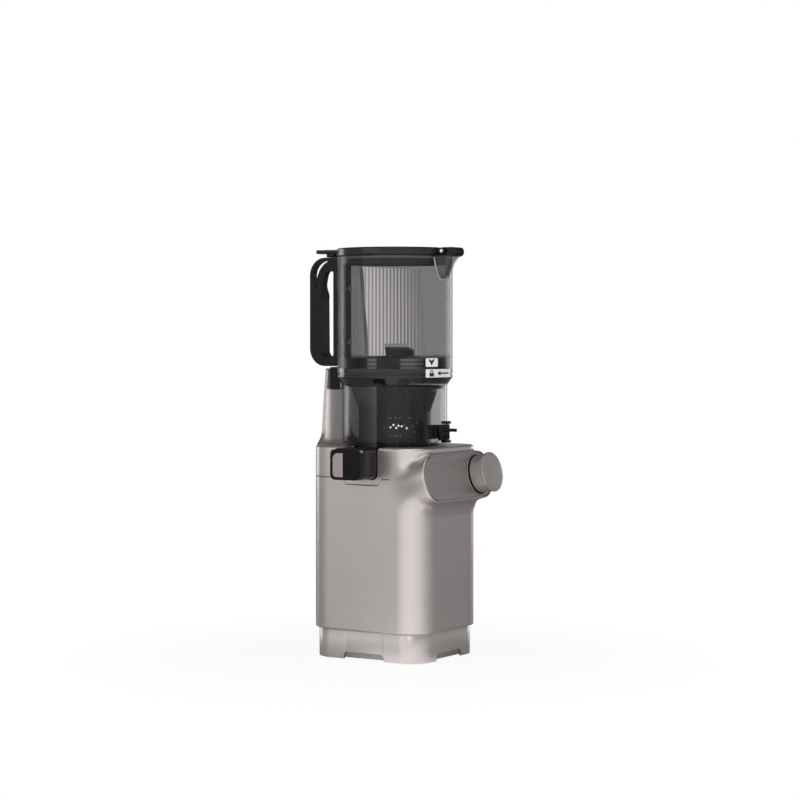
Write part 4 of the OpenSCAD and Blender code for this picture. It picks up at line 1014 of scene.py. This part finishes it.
@dataclass
class ControlPod:
    """Tilted pod on the front that flows into the body, its panel and its knob."""

    plan: BodyPlan
    centre: tuple[float, float, float] = (0.0, -83.5, 201.0)
    tilt: float = 11.0
    span: float = 46.0
    end: float = 26.5
    root_low: float = 155.5
    root_high: float = 230.3
    root_span: float = 47.0
    root_end: float = 46.0
    knob_x: float = 40.0
    flutes: int = 60
    flute_depth: float = 0.22

    def place(self, points: np.ndarray) -> np.ndarray:
        """Takes points from the pod's frame, whose face looks along -Y, into the model's frame."""
        c, s = math.cos(math.radians(self.tilt)), math.sin(math.radians(self.tilt))
        x, y, z = np.moveaxis(points, -1, 0)
        return np.stack([x, c * y + s * z, -s * y + c * z], -1) + np.asarray(self.centre)

    def stadium(self, inset: float, steps: int = 64) -> tuple[np.ndarray, np.ndarray]:
        """Outline of two round ends joined by straight sides, and the angle of its normal.

        Args:
            inset: How far it is drawn in.
            steps: Flats in each round end and on each side.

        Returns:
            Points (n, 2) in the face, and angles in radians.
        """
        half = np.linspace(-np.pi / 2, np.pi / 2, steps, endpoint=False)
        side = np.linspace(-1, 1, steps, endpoint=False)
        r = self.end - inset
        right = np.stack([self.span + r * np.cos(half), r * np.sin(half)], 1)
        top = np.stack([-side * self.span, np.full(steps, r)], 1)
        points = np.concatenate([right, top, -right, -top])
        angle = np.concatenate([half, np.full(steps, np.pi / 2), half + np.pi, np.full(steps, 1.5 * np.pi)])
        return points, angle

    def face_ring(self, inset: float, depth: float) -> np.ndarray:
        """The stadium at a depth behind the face, (n, 3)."""
        p = self.stadium(inset)[0]
        return self.place(np.column_stack([p[:, 0], np.full(len(p), depth), p[:, 1]]))

    def root(self) -> tuple[np.ndarray, np.ndarray]:
        """Line where the pod leaves the body, and the way along the wall towards the pod.

        On the unrolled wall it is a stadium of its own: its straight sides match the pod's, and
        its ends reach past the corners on to the sides.

        Returns:
            Points (n, 3) and directions (n, 3).
        """
        p, angle = self.stadium(0)
        low, high = self.root_low, self.root_high
        straight = np.clip(p[:, 0] / self.span, -1, 1) * self.root_span
        at_end = np.abs(p[:, 0]) >= self.span - 1e-6
        wall, way = self.plan.strip(straight + self.root_end * np.cos(angle) * at_end)
        height = (low + high) / 2 + (high - low) / 2 * np.sin(angle)
        inward = np.column_stack([-np.cos(angle)[:, None] * way, -np.sin(angle)])
        return np.column_stack([wall, height]), inward

    def shell(self) -> Piece:
        """Pod skin: a rounded rim, then Bezier curves that start square to the face and end along
        the wall, which gives the hollow fillet all round."""
        root, inward = self.root()
        angle = self.stadium(0)[1]
        back = self.place(np.array([0.0, 1, 0])) - np.asarray(self.centre)
        # Pull of the curves' two ends below the face, above it and at its round ends
        share = np.stack([np.maximum(-np.sin(angle), 0), np.maximum(np.sin(angle), 0),
                          np.abs(np.cos(angle))], 1)
        leave, arrive = (share @ np.array(pull)[:, None] for pull in ((9.0, 2.2, 14.0), (13.0, 2.5, 16.0)))
        start = self.face_ring(0, 1.1)
        flow = bezier(start, start + back * leave, root + inward * arrive, root, 22)
        rim = [self.face_ring(1.0 - rise, 1.1 * inset) for inset, rise in quarter(1.0, 5)[:-1]]
        rings = [self.face_ring(1.35, 2.6), self.face_ring(1.35, 0.35), self.face_ring(1.2, 0.08), *rim,
                 *flow, root * np.array([0.98, 0.98, 1]), self.face_ring(5, 9), self.face_ring(5, 2.6)]
        return hollow("pod_shell", rings, 60)

    def panel(self) -> Piece:
        """Control panel: a plate that fills the pod's recess, with a bright rounded edge."""
        rings = [self.face_ring(2.5, 2.55),
                 *[self.face_ring(2.5 + inset, 0.8 - rise) for inset, rise in quarter(0.7, 5)]]
        piece = solid("panel", rings, 30)
        return carve(piece, self.round_part("hole_tool", np.array([[5.0, -4.0], [5.0, 3.0]]), 48))

    def round_part(self, name: str, profile: np.ndarray, steps: int = 192,
                   ripple: Ripple | None = None) -> Piece:
        """A turned piece about the knob's axis, with capped ends; heights count outwards.

        Args:
            name: Name of the piece.
            profile: Radius and height of each point.
            steps: Points round the axis.
            ripple: Added to the radius, as in turned().

        Returns:
            The mesh object.
        """
        x, y, z = np.moveaxis(turned(profile, steps, ripple=ripple), -1, 0)
        return solid(name, self.place(np.stack([x + self.knob_x, -z, y], -1)))

    def knob(self) -> tuple[Piece, ...]:
        """Dark ring, bezel, finely fluted grip, and face disc with a turned line near its edge."""
        ring = fillet(box(5, 0.0, 22.0, 1.4), [0, 0.1, 0.3, 0])
        bezel = fillet(box(22.0, 0.0, 23.5, 0.9), [0, 0.1, 0.5, 0.3])
        grip = fillet([(3.05, 1.75), (20.4, 1.75), (21, 2.6), (21, 14.9), (20.3, 15.65), (3.05, 15.65)],
                      [0, 0.2, 0.3, 0.3, 0.2, 0])
        grip = spaced(grip, 1.0, closed=False)
        mask = (grip[:, 0] > 20.6)[:, None]

        def flute(a: np.ndarray, row: np.ndarray) -> np.ndarray:
            """Hollows that lean a little from row to row, on the grip's side only."""
            wave = np.abs(np.sin(self.flutes * a + 0.35 * row)) ** 0.7
            return np.where(mask, -self.flute_depth * wave, 0.0)

        disc = fillet([(3.05, 15.75), (21.2, 15.75), (22, 16.5), (22, 18.2), (21.5, 18.7), (19.9, 18.7),
                       (19.7, 18.35), (19.3, 18.35), (19.1, 18.62), (0.02, 18.62)],
                      [0, 0.2, 0.4, 0.4, 0.3, 0.05, 0.05, 0.05, 0.05, 0])
        fluted = self.round_part("knurled_grip", grip, 480, flute)
        return (self.round_part("knob_base_ring", ring), self.round_part("knob_bezel", bezel), fluted,
                self.round_part("knob_disc", disc))

    def build(self) -> None:
        """Makes and dresses the pod, its panel and the knob."""
        dress(self.shell(), SILVER, "base", "front_pod")
        dress(self.panel(), PANEL, "base", "control_panel")
        ring, bezel, grip, disc = self.knob()
        dress(ring, BLACK, "base", "knob_ring")
        dress(bezel, PANEL, "base")
        dress(grip, GRIP, "knob", "knob_grip")
        dress(disc, FACE, "knob", "knob_cap")


@dataclass
class JuiceBowl:
    """Smoked bowl with its spout, cap, strainer and pulp lever."""

    floor: float = 207.0
    top: float = 318.2
    radius: float = 58.0
    mouth: float = 64.0
    wall: float = 2.5
    cap_face: float = -98.0
    basket: float = 39.6
    basket_ribs: int = 24
    # Way across as seen from the controls' side, and height, of each juice hole with and without light
    lit_holes: Points = ((-4.7, 253.9), (-1.5, 256.6), (1.6, 253.3), (4.1, 255.7), (7.5, 255.1),
                         (13.0, 253.0))
    faint_holes: Points = ((-5.0, 264.2), (1.1, 264.2), (5.7, 264.2), (16.5, 264.2), (-4.3, 244.5),
                           (-0.4, 244.5), (2.6, 244.5), (6.5, 244.5), (-11.5, 253.5), (10.2, 256.5),
                           (19.5, 255.0), (24.0, 258.5), (22.5, 248.5))

    def shell(self) -> Piece:
        """Bowl: one closed turned profile, outer wall up, inner wall down to the hole in its floor."""
        r, mouth, wall, floor, top = self.radius, self.mouth, self.wall, self.floor, self.top
        outer = fillet([(11.1, floor), (50, floor), (50, 234.2), (r, 234.2), (r, 300), (mouth, 308),
                        (mouth, 310.4), (mouth - 0.8, 310.8), (mouth - 0.8, 312.6), (mouth, 313),
                        (mouth, top)],
                       [0, 1.5, 1.0, 9.0, 5, 5, 0.2, 0.2, 0.2, 0.2, 0.1], 8, closed=False)
        inner = fillet([(mouth - wall, top), (mouth - wall, 307.2), (r - wall, 299.2), (r - wall, 239),
                        (47, 236), (47, floor + 3), (11.1, floor + 3)], [0.6, 4, 4, 6, 2, 2, 0], 8, False)
        return hollow("bowl_shell", turned(np.concatenate([outer, inner]), 256))

    def spout(self) -> Piece:
        """Spout: a round-cornered block with its channel, carried from the neck to the mouth."""
        outline = fillet(box(-20, 199, 20, 233), [6.5, 6.5, 7, 2])
        channel = fillet(box(-16, 211, 16, 229), 3)
        piece = plate("spout_block", outline, -92.9, -52.0, Across.X)
        tool = solid("channel_tool", slab(channel, -95, -50, Across.X))
        sides = [rounded_box("side_tool", (-87, y, 203.5), (-69.5, y + 4.4, 228.5), 2.0) for y in (-23, 18.6)]
        return bevelled(carve(piece, tool, *sides), 0.5, 2)

    def hinge_ears(self) -> Piece:
        """Ears that hold the juice cap's pin and the pulp lever's pin."""
        side = [(17.4, 226.8), (19.9, 226.8), (19.4, 229.3), (17.4, 231.0)]
        ears = [plate("ear", fillet([(s * y, z) for y, z in side][::s], [0.3, 0.3, 2.4, 0.3][::s]),
                      self.cap_face, self.cap_face + 6, Across.X, 0.4) for s in (1, -1)]
        ears += [rounded_box("ear", (4.4, -66.2, z), (11.6, -57.3, z + 3), 0.6) for z in (236.7, 257.3)]
        return joined("hinge_ears", *ears)

    def cap(self) -> Piece:
        """Juice cap: a round-cornered plate with its knuckle round the pin."""
        face = fillet([(-19.9, 199), (19.9, 199), (19.9, 226.6), (17.2, 226.6), (17.2, 231.8), (-17.2, 231.8),
                       (-17.2, 226.6), (-19.9, 226.6)], [8, 6, 0.5, 0.2, 4.6, 1, 0.2, 0.5])
        return plate("cap_plate", face, self.cap_face, self.cap_face + 4.7, Across.X, 1.1)

    def pad(self) -> Piece:
        """Light pad on the cap: a D with its straight edge towards the middle."""
        outline = fillet(box(3, 202, 16, 228), [0.8, 4.0, 9.5, 0.8])
        return plate("cap_inlay", outline, self.cap_face - 1.2, self.cap_face, Across.X, 0.5)

    def strainer(self) -> Piece:
        """Strainer: straight basket, cone, collar and rim; shallow upright ribs on the basket."""
        r = self.basket
        outer = fillet([(16.5, 210.2), (r, 210.2), (r, 270), (47, 293), (47, 295.5), (55.0, 295.5),
                        (55.0, 298.5), (45.5, 298.5), (45.5, 293.5), (r - 1.5, 270.2), (r - 1.5, 212),
                        (16.5, 212)],
                       [0, 2, 3, 2, 0.5, 0.5, 0.8, 0.5, 1, 1, 1, 0])
        dense = spaced(outer, 3.0)
        ribbed = ((dense[:, 0] > r - 0.6) & (dense[:, 1] < 269))[:, None]
        return hollow("basket", turned(dense, 288, ripple=lambda a, row: np.where(
            ribbed, 0.35 * np.cos(self.basket_ribs * a) ** 8, 0.0)))

    def juice_holes(self, name: str, places: Points) -> Piece:
        """Juice holes as light comes through them: low domes on the basket.

        Args:
            name: Name of the piece.
            places: Way across and height of each hole.

        Returns:
            The mesh object.
        """
        dome = fillet([(0.02, 0.5), (0.9, 0.35), (1.0, -0.4), (0.02, -0.4)], [0, 0.2, 0, 0])
        x, y, z = np.moveaxis(turned(dome, 12), -1, 0)
        base = self.basket + 0.15
        skin, r = Skin(), base + z
        for across, height in places:
            turn = math.atan2(-ACROSS[0], ACROSS[1]) + math.asin(across / base)
            c, s = math.cos(turn), math.sin(turn)
            skin.grid(np.stack([r * c - x * s, r * s + x * c, height + y], -1), capped=True)
        return skin.mesh(name)

    def lever(self) -> Piece:
        """Pulp lever: a block beside its barrel, with a thumb nub."""
        block = fillet(box(-9, -66.6, 9.5, -61.2), [1.5, 2.6, 2.6, 1.5])
        nub = fillet(box(-8, -83.2, -3, -64), [2.4, 2.4, 0.2, 0.2])
        return joined("lever_body", plate("block", block, 240.1, 256.9, Across.Z, 0.8),
                      plate("nub", nub, 249.5, 252.9, Across.Z, 0.8))

    def build(self) -> None:
        """Makes and dresses every piece of the bowl."""
        dress(self.shell(), SMOKED_BOWL, "bowl", "juice_bowl")
        dress(self.spout(), DEEP, "bowl", "juice_spout")
        dress(self.hinge_ears(), DEEP, "bowl")
        dress(self.cap(), BLACK, "juice_gate", "juice_cap")
        dress(self.pad(), INLAY, "juice_gate", "cap_pad")
        dress(self.strainer(), BASKET, "bowl", "strainer", "strainer_cone")
        dress(self.juice_holes("juice_holes_lit", self.lit_holes), LIT, "bowl")
        dress(self.juice_holes("juice_holes_faint", self.faint_holes), FAINT, "bowl")
        dress(self.lever(), BLACK, "pulp_gate", "pulp_lever")


@dataclass
class Hopper:
    """Smoked ribbed hopper with its beak, label plates, handle bracket and handle."""

    low: float = 318.5
    top: float = 441.0
    radius: float = 64.0
    wall: float = 2.5
    beak_low: float = 416.0
    beak_half: float = 17.0
    beak_root: float = 62.3
    bead: float = 0.75
    sheet_low: float = 332.0
    sheet_tall: float = 96.6
    sheet_lean: float = 8.0
    label_face: float = 64.4
    label_start: float = 244.2
    handle_half: float = 9.0

    def shell(self) -> Piece:
        """Hopper wall: a closed turned profile, and the floor with its round throat."""
        r, inner = self.radius, self.radius - self.wall
        outline = fillet(box(inner, self.low, r, self.top), [0.3, 0.4, 0.8, 0.6])
        floor = fillet(box(30, 329.2, 62, 331.7), [1, 0, 0, 1])
        return joined("hopper_shell", hollow("hopper_shell", turned(outline, 256), 50),
                      hollow("floor", turned(floor)))

    def beak(self) -> Piece:
        """Pouring beak: level sections from wall to tip and back, wider and deeper towards the lip."""
        v, u, root = np.linspace(0, 1, 25)[:, None], np.linspace(-1, 1, 41)[None], self.beak_root
        z = self.beak_low + (self.top - self.beak_low) * v
        tip = np.interp(z, [416, 417.5, 420, 426, 433, 438, 441], [root, 66.4, 69.6, 72.6, 76.0, 80.4, 84.0])
        x = self.beak_half * v ** 0.27 * u
        reach = (1 - np.abs(u) ** 2.2) ** 0.9
        y = -(np.sqrt(root ** 2 - x ** 2) + (tip - root) * reach)
        outer = np.stack([x, y, np.broadcast_to(z, x.shape)], -1)
        inner = outer * np.array([0.88, 1, 1]) + np.array([0, 2.0, 0])
        inner[..., 2] = np.maximum(inner[..., 2], self.beak_low + 1.5)
        inner[..., 1] = np.minimum(inner[..., 1], -np.sqrt(60.5 ** 2 - inner[..., 0] ** 2))
        return solid("beak", np.concatenate([outer, inner[:, ::-1]], 1), 60)

    def beak_rim(self) -> Piece:
        """Bead round the beak's foot, pale as a painted highlight: a round section carried along its outline
        on the wall.
        """
        t = np.linspace(-1, 1, 61)
        a, height = -np.pi / 2 + 17.6 * t / self.radius, 414.8 + 24.5 * np.abs(t) ** 3.8
        out = np.stack([np.cos(a), np.sin(a), np.zeros_like(a)], 1)
        middle = (self.radius + 0.3) * out
        middle[:, 2] = height
        way = np.gradient(middle, axis=0)
        way /= np.linalg.norm(way, axis=1)[:, None]
        side = np.cross(way, out)
        turn = np.linspace(0, 2 * np.pi, 12, endpoint=False)[:, None]
        return solid("beak_bead", middle[:, None] + self.bead * (np.cos(turn) * out[:, None]
                                                                 + np.sin(turn) * side[:, None]))

    def lug(self) -> Piece:
        """Hinge lug above the beak: a rounded nose, seen from the side, with round corners."""
        side = fillet([(-65.6, 440), (-65.6, 450), (-84, 450), (-84, 440)], [0.3, 1, 4.4, 4.4])
        return plate("hinge_lug", side, -9, 9, Across.X, 1.4)

    def collar(self) -> Piece:
        """Dark collar below the hopper's floor."""
        ring = fillet(box(54, 309.3, 61.15, 329.1), [0.8, 1.2, 0.8, 0.8])
        return hollow("dark_collar", turned(ring))

    def guide(self) -> Piece:
        """Feed wall: a ribbed sheet across the hopper, whose light is painted, that leans back towards its
        top, and bends over the throat."""
        v = np.linspace(0, 1, 25)[:, None]
        x, y, z = np.broadcast_arrays(np.linspace(-60.6, 60.6, 301)[None], -3 + self.sheet_lean * v,
                                      self.sheet_low + self.sheet_tall * v)
        limit = np.sqrt(np.maximum(60.75 ** 2 - y ** 2, 1))
        x = np.clip(x, -limit, limit)
        front = y - 0.6 * np.sin((ACROSS[0] * x + ACROSS[1] * y) * 2 * np.pi / RIB_PITCH)
        piece = solid("guide_sheet", there_and_back(x, front, y + 2.0, z), 60)
        return carve(piece, solid("arch_tool", turned(np.array([[24.5, 325.0], [24.5, 345.2]]), 96)))

    def label(self, name: str, last: float, low: float, high: float) -> Piece:
        """A thin label plate with round corners, bent round the wall.

        Args:
            name: Name of the piece.
            last: Its last angle in degrees.
            low: Height of its lower edge.
            high: Height of its upper edge.

        Returns:
            The mesh object.
        """
        half = math.radians(last - self.label_start) / 2 * self.label_face
        outline = spaced(fillet(box(-half, low, half, high), 1.0, 5), 1.5)
        return bent(name, [outline], (self.label_start + last) / 2, self.radius + 0.02, self.label_face)

    def signs(self) -> tuple[Piece, Piece]:
        """Generic signs on the plates: a triangle, and a padlock with an arrow."""
        body = box(-3.1, 309.5, 3.1, 313.3)
        t = np.linspace(0, np.pi, 13)
        bow = np.concatenate([np.stack([2.4 * np.cos(t), 313.2 + 3.5 * np.sin(t)], 1),
                              np.stack([1.3 * np.cos(t[::-1]), 313.2 + 2.3 * np.sin(t[::-1])], 1)])
        shaft = spaced(box(-7.0, 312.2, 10.5, 313.8), 1.0)
        head = np.array([(-11.5, 313), (-6.6, 310.1), (-6.6, 315.9)])
        triangle = bent("triangle_sign", [np.array([(-4.4, 328.1), (4.4, 328.1), (0, 321.5)])], 251.0)
        lock, way = bent("lock", [body, bow], 251.2), bent("way", [shaft, head], 269.0)
        return triangle, joined("lock_sign", lock, way)

    def bracket(self) -> Piece:
        """Bracket below the handle: part of a ring, as wide as the handle's foot."""
        a = np.radians(np.linspace(77, 103, 41))[:, None]
        section = fillet(box(64.7, 293.6, 77.2, 318.8), 1.2, 4)
        r, z = section.T[:, None]
        return solid("bracket_block", np.stack(np.broadcast_arrays(r * np.cos(a), r * np.sin(a), z), -1))

    def handle(self) -> Piece:
        """Handle: one plate outline with finger gap and crescent eye, narrowed above the grip.

        Above the height 396 the plate is cut into nine level bands. A smooth step of the height
        then halves its thickness and shifts it aside, but for the strap along the hopper.
        """
        outline = fillet(box(64.1, 319.6, 108.2, 441.4), [0.5, 20, 20, 0.5], 16)
        gap = fillet([(76.4, 330.5), (93.0, 329.0), (93.6, 395), (88.6, 421), (86, 426), (76.4, 426)],
                     [2.5, 7, 5, 6, 2, 2])
        t = np.radians(np.linspace(106, -2, 15))
        rim = np.array([88.2, 421.4]) + 16.4 * np.stack([np.cos(t), np.sin(t)], 1)
        tail = smooth_line([(104.0, 416.0), (102.6, 409.5), (99.6, 406.8), (97.6, 409.5), (98.6, 416),
                            (97.4, 422), (94.2, 428.5), (88.6, 434.6)], 3)
        half = self.handle_half
        piece = plate("grip_frame", outline, -half, half, Across.X, holes=(gap, np.concatenate([rim, tail])))
        low, high = 396, 412
        with edited(piece.data) as bm:
            for height in np.linspace(low, high, 9) * MM:
                bmesh.ops.bisect_plane(bm, geom=bm.verts[:] + bm.edges[:] + bm.faces[:],
                                       plane_co=(0, 0, height), plane_no=UP)
        points = np.empty(len(piece.data.vertices) * 3)
        piece.data.vertices.foreach_get("co", points)
        points = points.reshape(-1, 3)
        t = np.clip((points[:, 2] / MM - low) / (high - low), 0, 1)
        ease = np.where(points[:, 1] < 76.6 * MM, 0.0, 3 * t ** 2 - 2 * t ** 3)
        points[:, 0] = points[:, 0] * (1 - 0.5 * ease) - half / 2 * MM * ease
        piece.data.vertices.foreach_set("co", points.ravel())
        piece.data.update()
        return bevelled(settle(piece), 1.3, 3, 40)

    def build(self) -> None:
        """Makes and dresses every piece of the hopper."""
        dress(self.shell(), SMOKED, "feeder", "hopper")
        dress(self.beak(), SMOKED_BEAK, "feeder")
        dress(self.beak_rim(), BEAD_HIGHLIGHT, "feeder")
        dress(self.lug(), BLACK, "feeder")
        dress(self.collar(), COLLAR, "feeder", "hopper_collar")
        dress(self.guide(), SHEET_PAINTED_LIGHT, "feeder", "feed_wall")
        dress(self.label("arrow_label", 259.3, 320.1, 329.4), LABEL, "feeder", "arrow_mark")
        dress(self.label("lock_label", 282.8, 308.5, 317.5), LABEL, "bowl", "lock_mark")
        triangle, padlock = self.signs()
        dress(triangle, INK, "feeder")
        dress(padlock, INK, "bowl")
        dress(self.bracket(), BLACK, "feeder", "handle_bracket")
        dress(self.handle(), DARK, "feeder", "handle")


@dataclass
class Lid:
    """Lid with its skirt, hinge ears and thumb tab."""

    top: float = 450.0
    low: float = 441.6
    radius: float = 64.0
    skirt: float = 60.0

    def cover(self) -> Piece:
        """Lid: a turned plate with rim, skirt and a shallow ring on top, notched for the hinge lug."""
        r, skirt, low, top = self.radius, self.skirt, self.low, self.top
        profile = fillet([(0.02, 447), (skirt - 2, 447), (skirt - 2, 432.2), (skirt, 432.2), (skirt, low),
                          (r, low), (r, top), (57.2, top), (56.6, 449.4), (55.4, 449.4), (54.8, 449.9),
                          (0.02, 449.9)],
                         [0, 0.5, 0.5, 0.5, 0.3, 0.5, 1.6, 0.3, 0.3, 0.3, 0.3, 0])
        piece = solid("lid_cover", turned(profile, 256))
        piece = carve(piece, rounded_box("notch_tool", (-9.4, -90, 441.2), (9.4, -59.5, 455)))
        side = fillet(box(-71.4, 442.5, -60, 449.4), [3.4, 0.2, 0.2, 3.4])
        ears = [plate("ear", side, x, x + 3, Across.X, 0.5) for x in (-12.5, 9.5)]
        return joined("lid_cover", piece, *ears)

    def tab(self) -> Piece:
        """Thumb tab: a rounded tongue behind the rim, and the stem under it."""
        tongue = fillet(box(-8, 62.5, 8, 101.5), [0.3, 0.3, 3, 3])
        return joined("thumb_tab", plate("tongue", tongue, 445.8, self.top, Across.Z, 1.0),
                      rounded_box("stem", (-5, 78.4, 441.9), (5, 88.4, 447), 0.8))

    def build(self) -> None:
        """Makes and dresses the lid and its tab."""
        dress(self.cover(), COVER, "cover", "lid")
        dress(self.tab(), COVER, "cover", "lid_tab")


@dataclass
class Studio:
    """Camera at the photograph's view, pale floor and soft lamps."""

    azimuth: float = -57.29
    focal: float = 2220.0
    distance: float = 2457.7
    height: float = 355.96
    pitch: float = 1.15
    middle: tuple[float, float] = (394.81, 378.30)
    frame: float = 800.0
    sensor: float = 36.0
    target_height: float = 0.22
    floor_half: float = 3000.0
    # Extra brightness of the floor on the lit side, seen only in reflections
    card_glow: float = 0.6

    def camera(self) -> None:
        """Places the camera: back along its azimuth, pitched down, with the frame shifted."""
        a, frame = math.radians(self.azimuth), self.frame
        lens = bpy.data.cameras.new("camera")
        lens.sensor_width, lens.sensor_fit = self.sensor, "HORIZONTAL"
        lens.lens = self.focal / frame * self.sensor
        lens.shift_x = (frame / 2 - self.middle[0]) / frame
        lens.shift_y = (self.middle[1] - frame / 2) / frame
        lens.clip_start, lens.clip_end = 0.1, 50.0
        eye = bpy.data.objects.new("camera", lens)
        bpy.context.scene.collection.objects.link(eye)
        eye.location = ORIGIN_SHIFT + Vector((math.sin(a) * self.distance, -math.cos(a) * self.distance,
                                              self.height)) * MM
        eye.rotation_euler = (math.pi / 2 - math.radians(self.pitch), 0, a)
        bpy.context.scene.camera = eye

    def lamp(self, name: str, place: Sequence[float], size: float, power: float) -> None:
        """Adds a square soft lamp that looks at the middle of the object.

        Args:
            name: Its name.
            place: Where it stands, in metres.
            size: Its side in metres.
            power: Its power in watts.
        """
        data = bpy.data.lights.new(name, "AREA")
        data.shape, data.size, data.energy = "SQUARE", size, power
        lamp = bpy.data.objects.new(name, data)
        bpy.context.scene.collection.objects.link(lamp)
        lamp.location = place
        x, y, z = -place[0], -place[1], self.target_height - place[2]
        lamp.rotation_euler = (math.pi / 2 + math.atan2(z, math.hypot(x, y)), 0, math.atan2(-x, y))

    def world(self) -> None:
        """White to the camera and through clear pieces; to all else brightest on the lit side and
        near the horizon, with two narrow bright strips that edge the clear pieces."""
        world = bpy.data.worlds.new("studio")
        bpy.context.scene.world = world
        world.use_nodes = True
        graph = Graph(world.node_tree)
        way = graph.add("ShaderNodeTexCoord", out="Generated")
        around = graph.calc("MULTIPLY", graph.spread(graph.along(LIT_SIDE, way), 0.4, 1.3, -0.5, 1.0),
                            graph.spread(graph.along(UP, way), 1.0, 0.28, 0.04, 0.6))
        for turn in (math.radians(80), math.radians(-5)):
            near = graph.along((math.cos(turn), math.sin(turn), 0), way)
            strip = graph.spread(near, 0.0, 2.6, 0.972, 0.992, "SMOOTHSTEP")
            around = graph.calc("MAXIMUM", around, strip)
        seen = graph.calc("MAXIMUM", graph.add("ShaderNodeLightPath", out="Is Camera Ray"),
                          graph.add("ShaderNodeLightPath", out="Is Transmission Ray"))
        back = world.node_tree.nodes["Background"]
        graph.feed(back.inputs["Color"], (1, 1, 1, 1))
        strength = graph.add("ShaderNodeMix", {"Factor": seen, "A": around, "B": 1.0})
        graph.feed(back.inputs["Strength"], strength)

    def floor(self) -> None:
        """A white floor with a faint gloss, its base colour darker away from the lit side as painted shade
        seen in reflections; to the camera it glows a little, so it meets the white.
        """
        steps = np.linspace(-self.floor_half, self.floor_half, 3)
        points = np.stack([*np.meshgrid(steps, steps), np.zeros((3, 3))], -1)
        floor = Skin().grid(points, wrap_columns=False).mesh("floor")
        tree = Tree("white floor")
        camera = tree.add("ShaderNodeLightPath", out="Is Camera Ray")
        way = tree.add("ShaderNodeVectorMath", {0: tree.place()}, operation="NORMALIZE")
        side = tree.along(LIT_SIDE, way)
        card = tree.spread(side, 0.0, self.card_glow, 0.55, 1.0)
        # Base colour darker away from the lit side: painted shade, seen in reflections on the body
        tree.set(Roughness=0.3, Base_Color=tree.spread(side, 0.36, 1.0, -0.5, 0.9),
                 Emission_Color=(1, 1, 1, 1),
                 Emission_Strength=tree.calc("MULTIPLY", card, tree.calc("SUBTRACT", 1.0, camera)))
        where = tree.add("ShaderNodeTexCoord", out="Object")
        far = tree.add("ShaderNodeVectorMath", {0: where}, "Value", operation="LENGTH")
        share = tree.calc("MULTIPLY", camera, tree.spread(far, 0.93, 1.0, 0.1, 0.4, "SMOOTHSTEP"))
        glow = tree.add("ShaderNodeEmission", {"Strength": 1.0})
        both = tree.add("ShaderNodeMixShader", {0: share, 1: tree.shader.outputs[0], 2: glow})
        tree.feed(tree.surface, both)
        floor.data.materials.append(tree.material)

    def build(self) -> None:
        """Sets up camera, lamps, world and floor."""
        bpy.context.scene.view_settings.view_transform = "Standard"
        self.camera()
        self.lamp("left softbox", (-1.9, 0.5, 1.1), 1.5, 5)
        self.lamp("camera softbox", (-2.0, -0.95, 1.3), 0.9, 4)
        self.lamp("top softbox", (-0.4, -0.3, 2.2), 1.8, 14)
        self.world()
        self.floor()


def main() -> None:
    """Loads the frame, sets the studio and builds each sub-assembly."""
    logging.basicConfig(level=logging.INFO, format="%(message)s")
    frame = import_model()
    Studio().build()
    plan = BodyPlan()
    MotorBase(plan).build()
    ControlPod(plan).build()
    JuiceBowl().build()
    Hopper().build()
    Lid().build()
    dress_carried(frame["nodes"])


if __name__ == "__main__":
    main()
